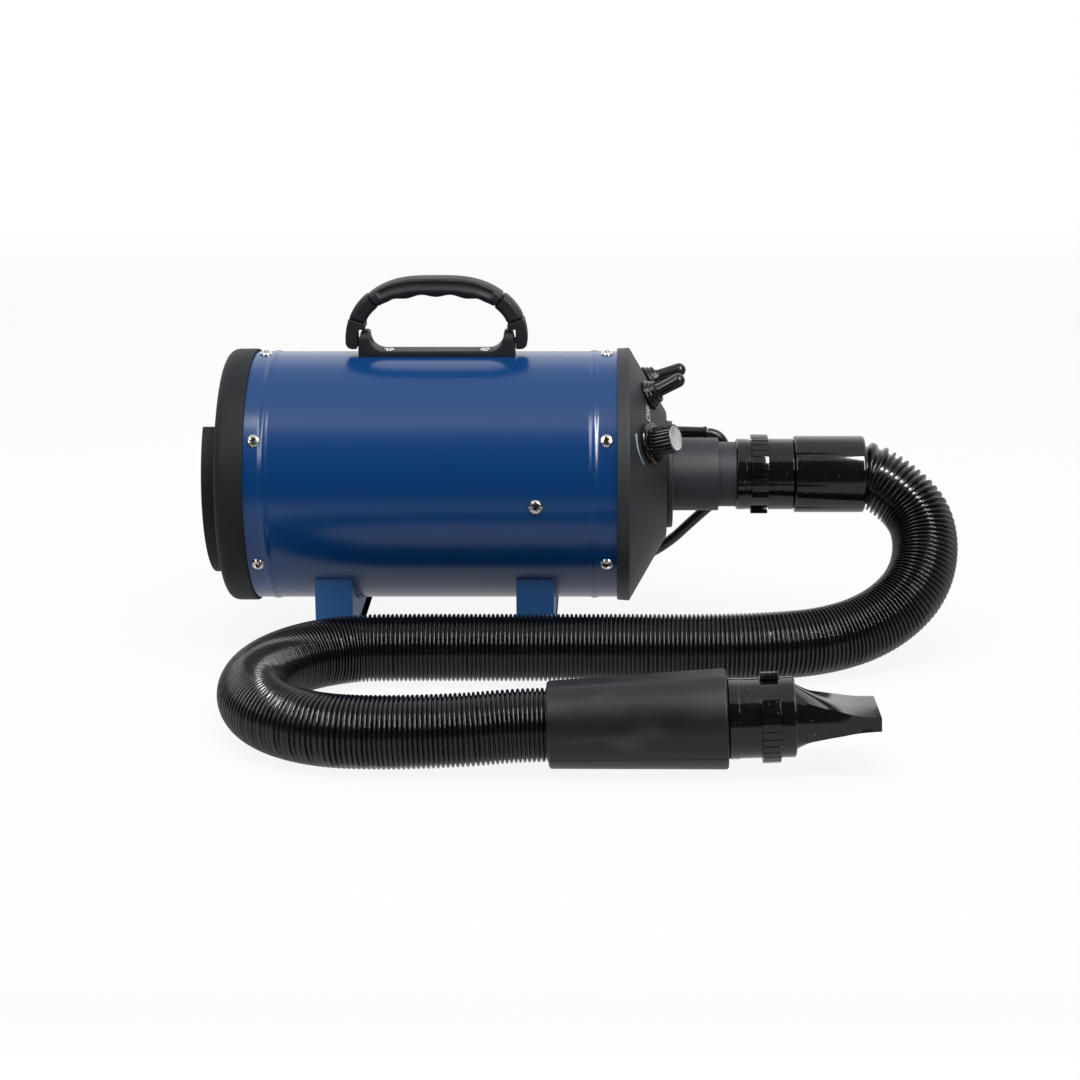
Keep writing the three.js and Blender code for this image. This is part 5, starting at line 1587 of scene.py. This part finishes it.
# The flutes are cut by rods that rise out of the cuff before its end
def makeCuff():
    radius, start, end = cuff["radius"], cuff["start"], cuff["end"]
    corners = [
        (start, sleeve["bore"]),
        (start, radius, 1.4),
        (end, radius, 2),
        (end, cuff["socket"]),
        (cuff["socketStart"], cuff["socket"]),
        (cuff["socketStart"], sleeve["bore"]),
    ]
    radiusOfFlute, deep = cuff["fluteRadius"], cuff["fluteDepth"]
    run = end - start - cuff["fluteShort"]
    rise = turnAbout("Y", -math.degrees(math.atan(deep / run)))
    place = shift(x=start, z=radius + radiusOfFlute - deep) @ rise
    flutes = []
    for k in range(cuff["flutes"]):
        around = turnAbout("X", 360 * (k + 0.5) / cuff["flutes"])
        flutes.append(moved(rod(-4, run + 3, radiusOfFlute, 64), around @ place))
    shell = carve(spinRound(corners, 180), *flutes)
    return finishPiece("cuff_fluted", shell, glossBlack, replaced=["hose_cuff"], sharp=24)


def makeHoseGrip():
    rear, front, length, bore = grip["rear"], grip["front"], grip["length"], sleeve["bore"]
    mouth, mouthFloor = grip["mouth"]
    corners = [
        (0, cuff["socket"]),
        (0, rear - 1.2, 0.5),
        (1.2, rear, 1),
        (length - 1.0, front, 0.8),
        (length, front - 1.0, 0.6),
        (length, mouth, 0.4),
        (length - grip["mouthDepth"], mouthFloor),
        (length - grip["mouthDepth"], bore),
        (grip["socket"], bore),
        (grip["socket"], cuff["socket"]),
    ]
    half, past = grip["flat"] / 2, (-5, length + 5)
    flat = roundedBlock(past, (-half, half), (0, 12))
    cutters = [moved(flat, shift(z=rear - grip["flatDepth"]) @ gripLean)]
    for degrees in grip["seams"]:
        seam = roundedBlock(past, (-0.22, 0.22), (0, 3))
        cutters.append(moved(seam, turnAbout("X", 90 - degrees) @ shift(z=rear - 0.28) @ gripLean))
    shell = carve(spinRound(corners, 160), *cutters)
    return finishPiece("grip_moulding", shell, gripBlack, replaced=["hose_grip"], place=gripPlace, sharp=24)


def makeCollar():
    start, end, bore = collar["start"], collar["end"], sleeve["bore"]
    stop, wide = end - nozzle["shank"], nozzle["radius"] + 0.5
    shell = makeSleeve(collar, [(end, wide), (stop, wide), (stop, bore), (start, bore)])
    ring = finishPiece("collar_sleeve", shell, glossBlack, "body", ["nozzle_collar"], gripPlace, 30)
    return [ring, *makePads(collar, "collar", gripPlace)]


# A section of the nozzle: four corners with a bulge on each side between them. Its corners come out
# sooner than its sides do, and its top sinks sooner still
def nozzleSection(x, share, shrink):
    def early(power):
        return 1 - (1 - share) ** power

    radius = nozzle["radius"]
    tipWide, tipTall = nozzle["tip"]
    corner = radius * math.sqrt(0.5)
    wide = between(radius, tipWide, share**1.3)
    tall = between(radius, tipTall, early(2.1))
    cornerWide = between(corner, tipWide - 0.25, early(1.6))
    cornerTall = min(between(corner, tipTall - 0.1, early(1.5)), tall)
    signs = [(1, 1), (-1, 1), (-1, -1), (1, -1)]
    corners = [Vector((a * cornerWide, b * cornerTall)) for a, b in signs]
    middles = [Vector(middle) for middle in ((0, tall), (-wide, 0), (0, -tall), (wide, 0))]
    loop = []
    for k, middle in enumerate(middles):
        first, last = corners[k], corners[(k + 1) % 4]
        half = (first + last) / 2
        rise = middle - half
        chord = (last - first).length / 2
        height = max(rise.length, 0.0001)
        bend = (chord * chord + height * height) / (2 * height)
        for step in range(nozzle["steps"]):
            along = 2 * step / nozzle["steps"] - 1
            arch = 0
            if height >= 0.01:
                arch = math.sqrt(bend**2 - (along * chord) ** 2) - (bend - height)
            point = half + (last - first) / 2 * along + rise.normalized() * arch
            spot = (x, point.x * (wide - shrink) / wide, point.y * (tall - shrink) / tall)
            loop.append(Vector(spot) * mm)
    return loop


def makeNozzle():
    start = collar["end"] - nozzle["shank"] + fit
    thick, thin = nozzle["wall"]
    shares = [k / nozzle["stations"] for k in range(nozzle["stations"] + 1)]
    places = [(collar["end"] + nozzle["length"] * share, share) for share in shares]
    loops = [nozzleSection(start, 0, 0)]
    loops += [nozzleSection(x, share, 0) for x, share in places]
    loops += [nozzleSection(x, share, between(thick, thin, share)) for x, share in reversed(places)]
    loops.append(nozzleSection(start, 0, thick))
    body = moved(bridgeLoops(loops, capped=False), turnAbout("X", nozzle["roll"]))
    finishPiece("nozzle_fishtail", body, glossBlack, "nozzle", ["nozzle"], gripPlace, 28)


hoseEnds = [*makeConnector(), makeCuff(), makeHoseGrip(), *makeCollar()]
makeNozzle()
print("hose side made")


# Finishes of the parts inside, which keep their own shapes

insideFinishes = {
    steel: ("handle_pin_rear", "handle_pin_front", "knob_shaft", "motor_shaft"),
    outletBlack: ("toggle_switch_near", "toggle_switch_far", "fan_shroud"),
    board: ("speed_module",),
    alloy: ("impeller", "motor_can", "air_duct"),
    capBlack: ("motor_mount",),
    mica: ("heater_frame",),
    wire: ("heater_coil",),
}
for finish, names in insideFinishes.items():
    for name in names:
        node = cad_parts[name]
        node.data.materials.clear()
        node.data.materials.append(finish)


# Floor, lamps and world

studio = {
    "floorSize": 60,
    "tableColour": (0.9, 0.9, 0.91),
    "tableGlow": 0.9,
    "tableInGloss": 0.65,
    "table": {"front": (0.52, 0.62), "back": (0.9, 1.8), "side": (0.9, 1.8)},
    "beyond": (0.05, 0.05, 0.05),
    "ambient": 0.22,
    "dark": 0.03,
    "backdrop": 1.25,
    "backdropEdge": (0.05, 0.3),
    "backdropTop": (0.66, 0.76),
    # name, place, aim, size, power, whether it lights the dryer and whether it shows in gloss
    "lamps": [
        ("topSoftbox", (0.0, 0.18, 1.72), (0, 0.18, 0), (3.6, 2.6), 22, True, True),
        ("keyFill", (0.0, -0.9, 2.0), (0, 0, 0.12), (1.8, 1.0), 24, True, False),
        ("leftStrip", (-0.85, -0.94, 1.24), (0, 0, 0.12), (0.35, 1.2), 13, False, True),
        ("rightStrip", (0.85, -0.94, 1.24), (0, 0, 0.12), (0.2, 1.2), 33, False, True),
    ],
}


def addMath(tree, operation, first, second):
    node = tree.nodes.new("ShaderNodeMath")
    node.operation = operation
    for socket, value in zip(node.inputs, (first, second)):
        if isinstance(value, (int, float)):
            socket.default_value = value
        else:
            tree.links.new(value, socket)
    return node.outputs["Value"]


def addPlace(tree, coordinates):
    place = tree.nodes.new("ShaderNodeTexCoord")
    parts = tree.nodes.new("ShaderNodeSeparateXYZ")
    feed(parts, Vector=place.outputs[coordinates])
    return parts.outputs


# Whether a ray comes from the camera, also through glass, and whether it is one of gloss
def addRays(tree):
    path = tree.nodes.new("ShaderNodeLightPath").outputs
    looks = addMath(tree, "MAXIMUM", path["Is Camera Ray"], path["Is Transmission Ray"])
    return looks, path["Is Glossy Ray"]


# A white table, and the same white beyond it for the camera, where gloss shows a dark studio
def makeFloor():
    bm = bmesh.new()
    bmesh.ops.create_grid(bm, x_segments=1, y_segments=1, size=studio["floorSize"] / 2)
    floor = asObject("studioFloor", moved(bm, shift(z=-0.5)))
    finish, tree, shader = startFinish("paleFloor", studio["tableColour"], 0.9)
    spot = addPlace(tree, "Object")
    table = studio["table"]
    front = spread(tree, addMath(tree, "MULTIPLY", spot["Y"], -1), 0, 1, *table["front"])
    back = spread(tree, spot["Y"], 0, 1, *table["back"])
    side = spread(tree, addMath(tree, "ABSOLUTE", spot["X"], 0), 0, 1, *table["side"])
    beyond = addMath(tree, "MAXIMUM", addMath(tree, "MAXIMUM", front, back), side)
    feed(shader, Base_Color=tint(tree, beyond, studio["tableColour"], studio["beyond"]))
    looks, inGloss = addRays(tree)
    glow = tree.nodes.new("ShaderNodeEmission")
    dimmed = addMath(tree, "MULTIPLY", inGloss, 1 - studio["tableInGloss"])
    feed(glow, Strength=addMath(tree, "SUBTRACT", 1, dimmed))
    seenGlow = addMath(tree, "MULTIPLY", looks, spread(tree, beyond, studio["tableGlow"], 1, 0, 1))
    glossGlow = addMath(tree, "MULTIPLY", inGloss, addMath(tree, "SUBTRACT", 1, beyond))
    mix = tree.nodes.new("ShaderNodeMixShader")
    feed(mix, Fac=addMath(tree, "MAXIMUM", seenGlow, glossGlow))
    tree.links.new(shader.outputs["BSDF"], mix.inputs[1])
    tree.links.new(glow.outputs["Emission"], mix.inputs[2])
    feed(tree.nodes["Material Output"], Surface=mix.outputs["Shader"])
    finish.cycles.emission_sampling = "NONE"
    floor.data.materials.append(finish)


# White for the camera, an even dim light on the dryer, and in gloss a white backdrop behind it
def makeWorld():
    world = bpy.data.worlds.new("studioWorld")
    scene.world = world
    world.use_nodes = True
    world.cycles.sampling_method = "NONE"
    tree = world.node_tree
    way = addPlace(tree, "Generated")
    edge = spread(tree, way["Y"], 0, 1, *studio["backdropEdge"])
    wall = addMath(tree, "MULTIPLY", edge, spread(tree, way["Z"], 1, 0, *studio["backdropTop"]))
    behind = spread(tree, wall, studio["dark"], studio["backdrop"], 0, 1)
    looks, inGloss = addRays(tree)
    seen = addMath(tree, "MAXIMUM", looks, addMath(tree, "MULTIPLY", inGloss, behind))
    others = addMath(tree, "SUBTRACT", 1, addMath(tree, "MAXIMUM", looks, inGloss))
    level = addMath(tree, "ADD", seen, addMath(tree, "MULTIPLY", others, studio["ambient"]))
    background = tree.nodes["Background"]
    background.inputs["Color"].default_value = (1, 1, 1, 1)
    feed(background, Strength=level)


def makeLamps():
    for name, place, aim, size, power, lights, inGloss in studio["lamps"]:
        data = bpy.data.lights.new(name, "AREA")
        data.shape = "RECTANGLE"
        data.size, data.size_y = size
        data.energy = power
        lamp = bpy.data.objects.new(name, data)
        lamp.location = place
        lamp.rotation_euler = (Vector(aim) - lamp.location).to_track_quat("-Z", "Y").to_euler()
        lamp.visible_diffuse = lights
        lamp.visible_glossy = inGloss
        scene.collection.objects.link(lamp)


makeFloor()
makeWorld()
makeLamps()
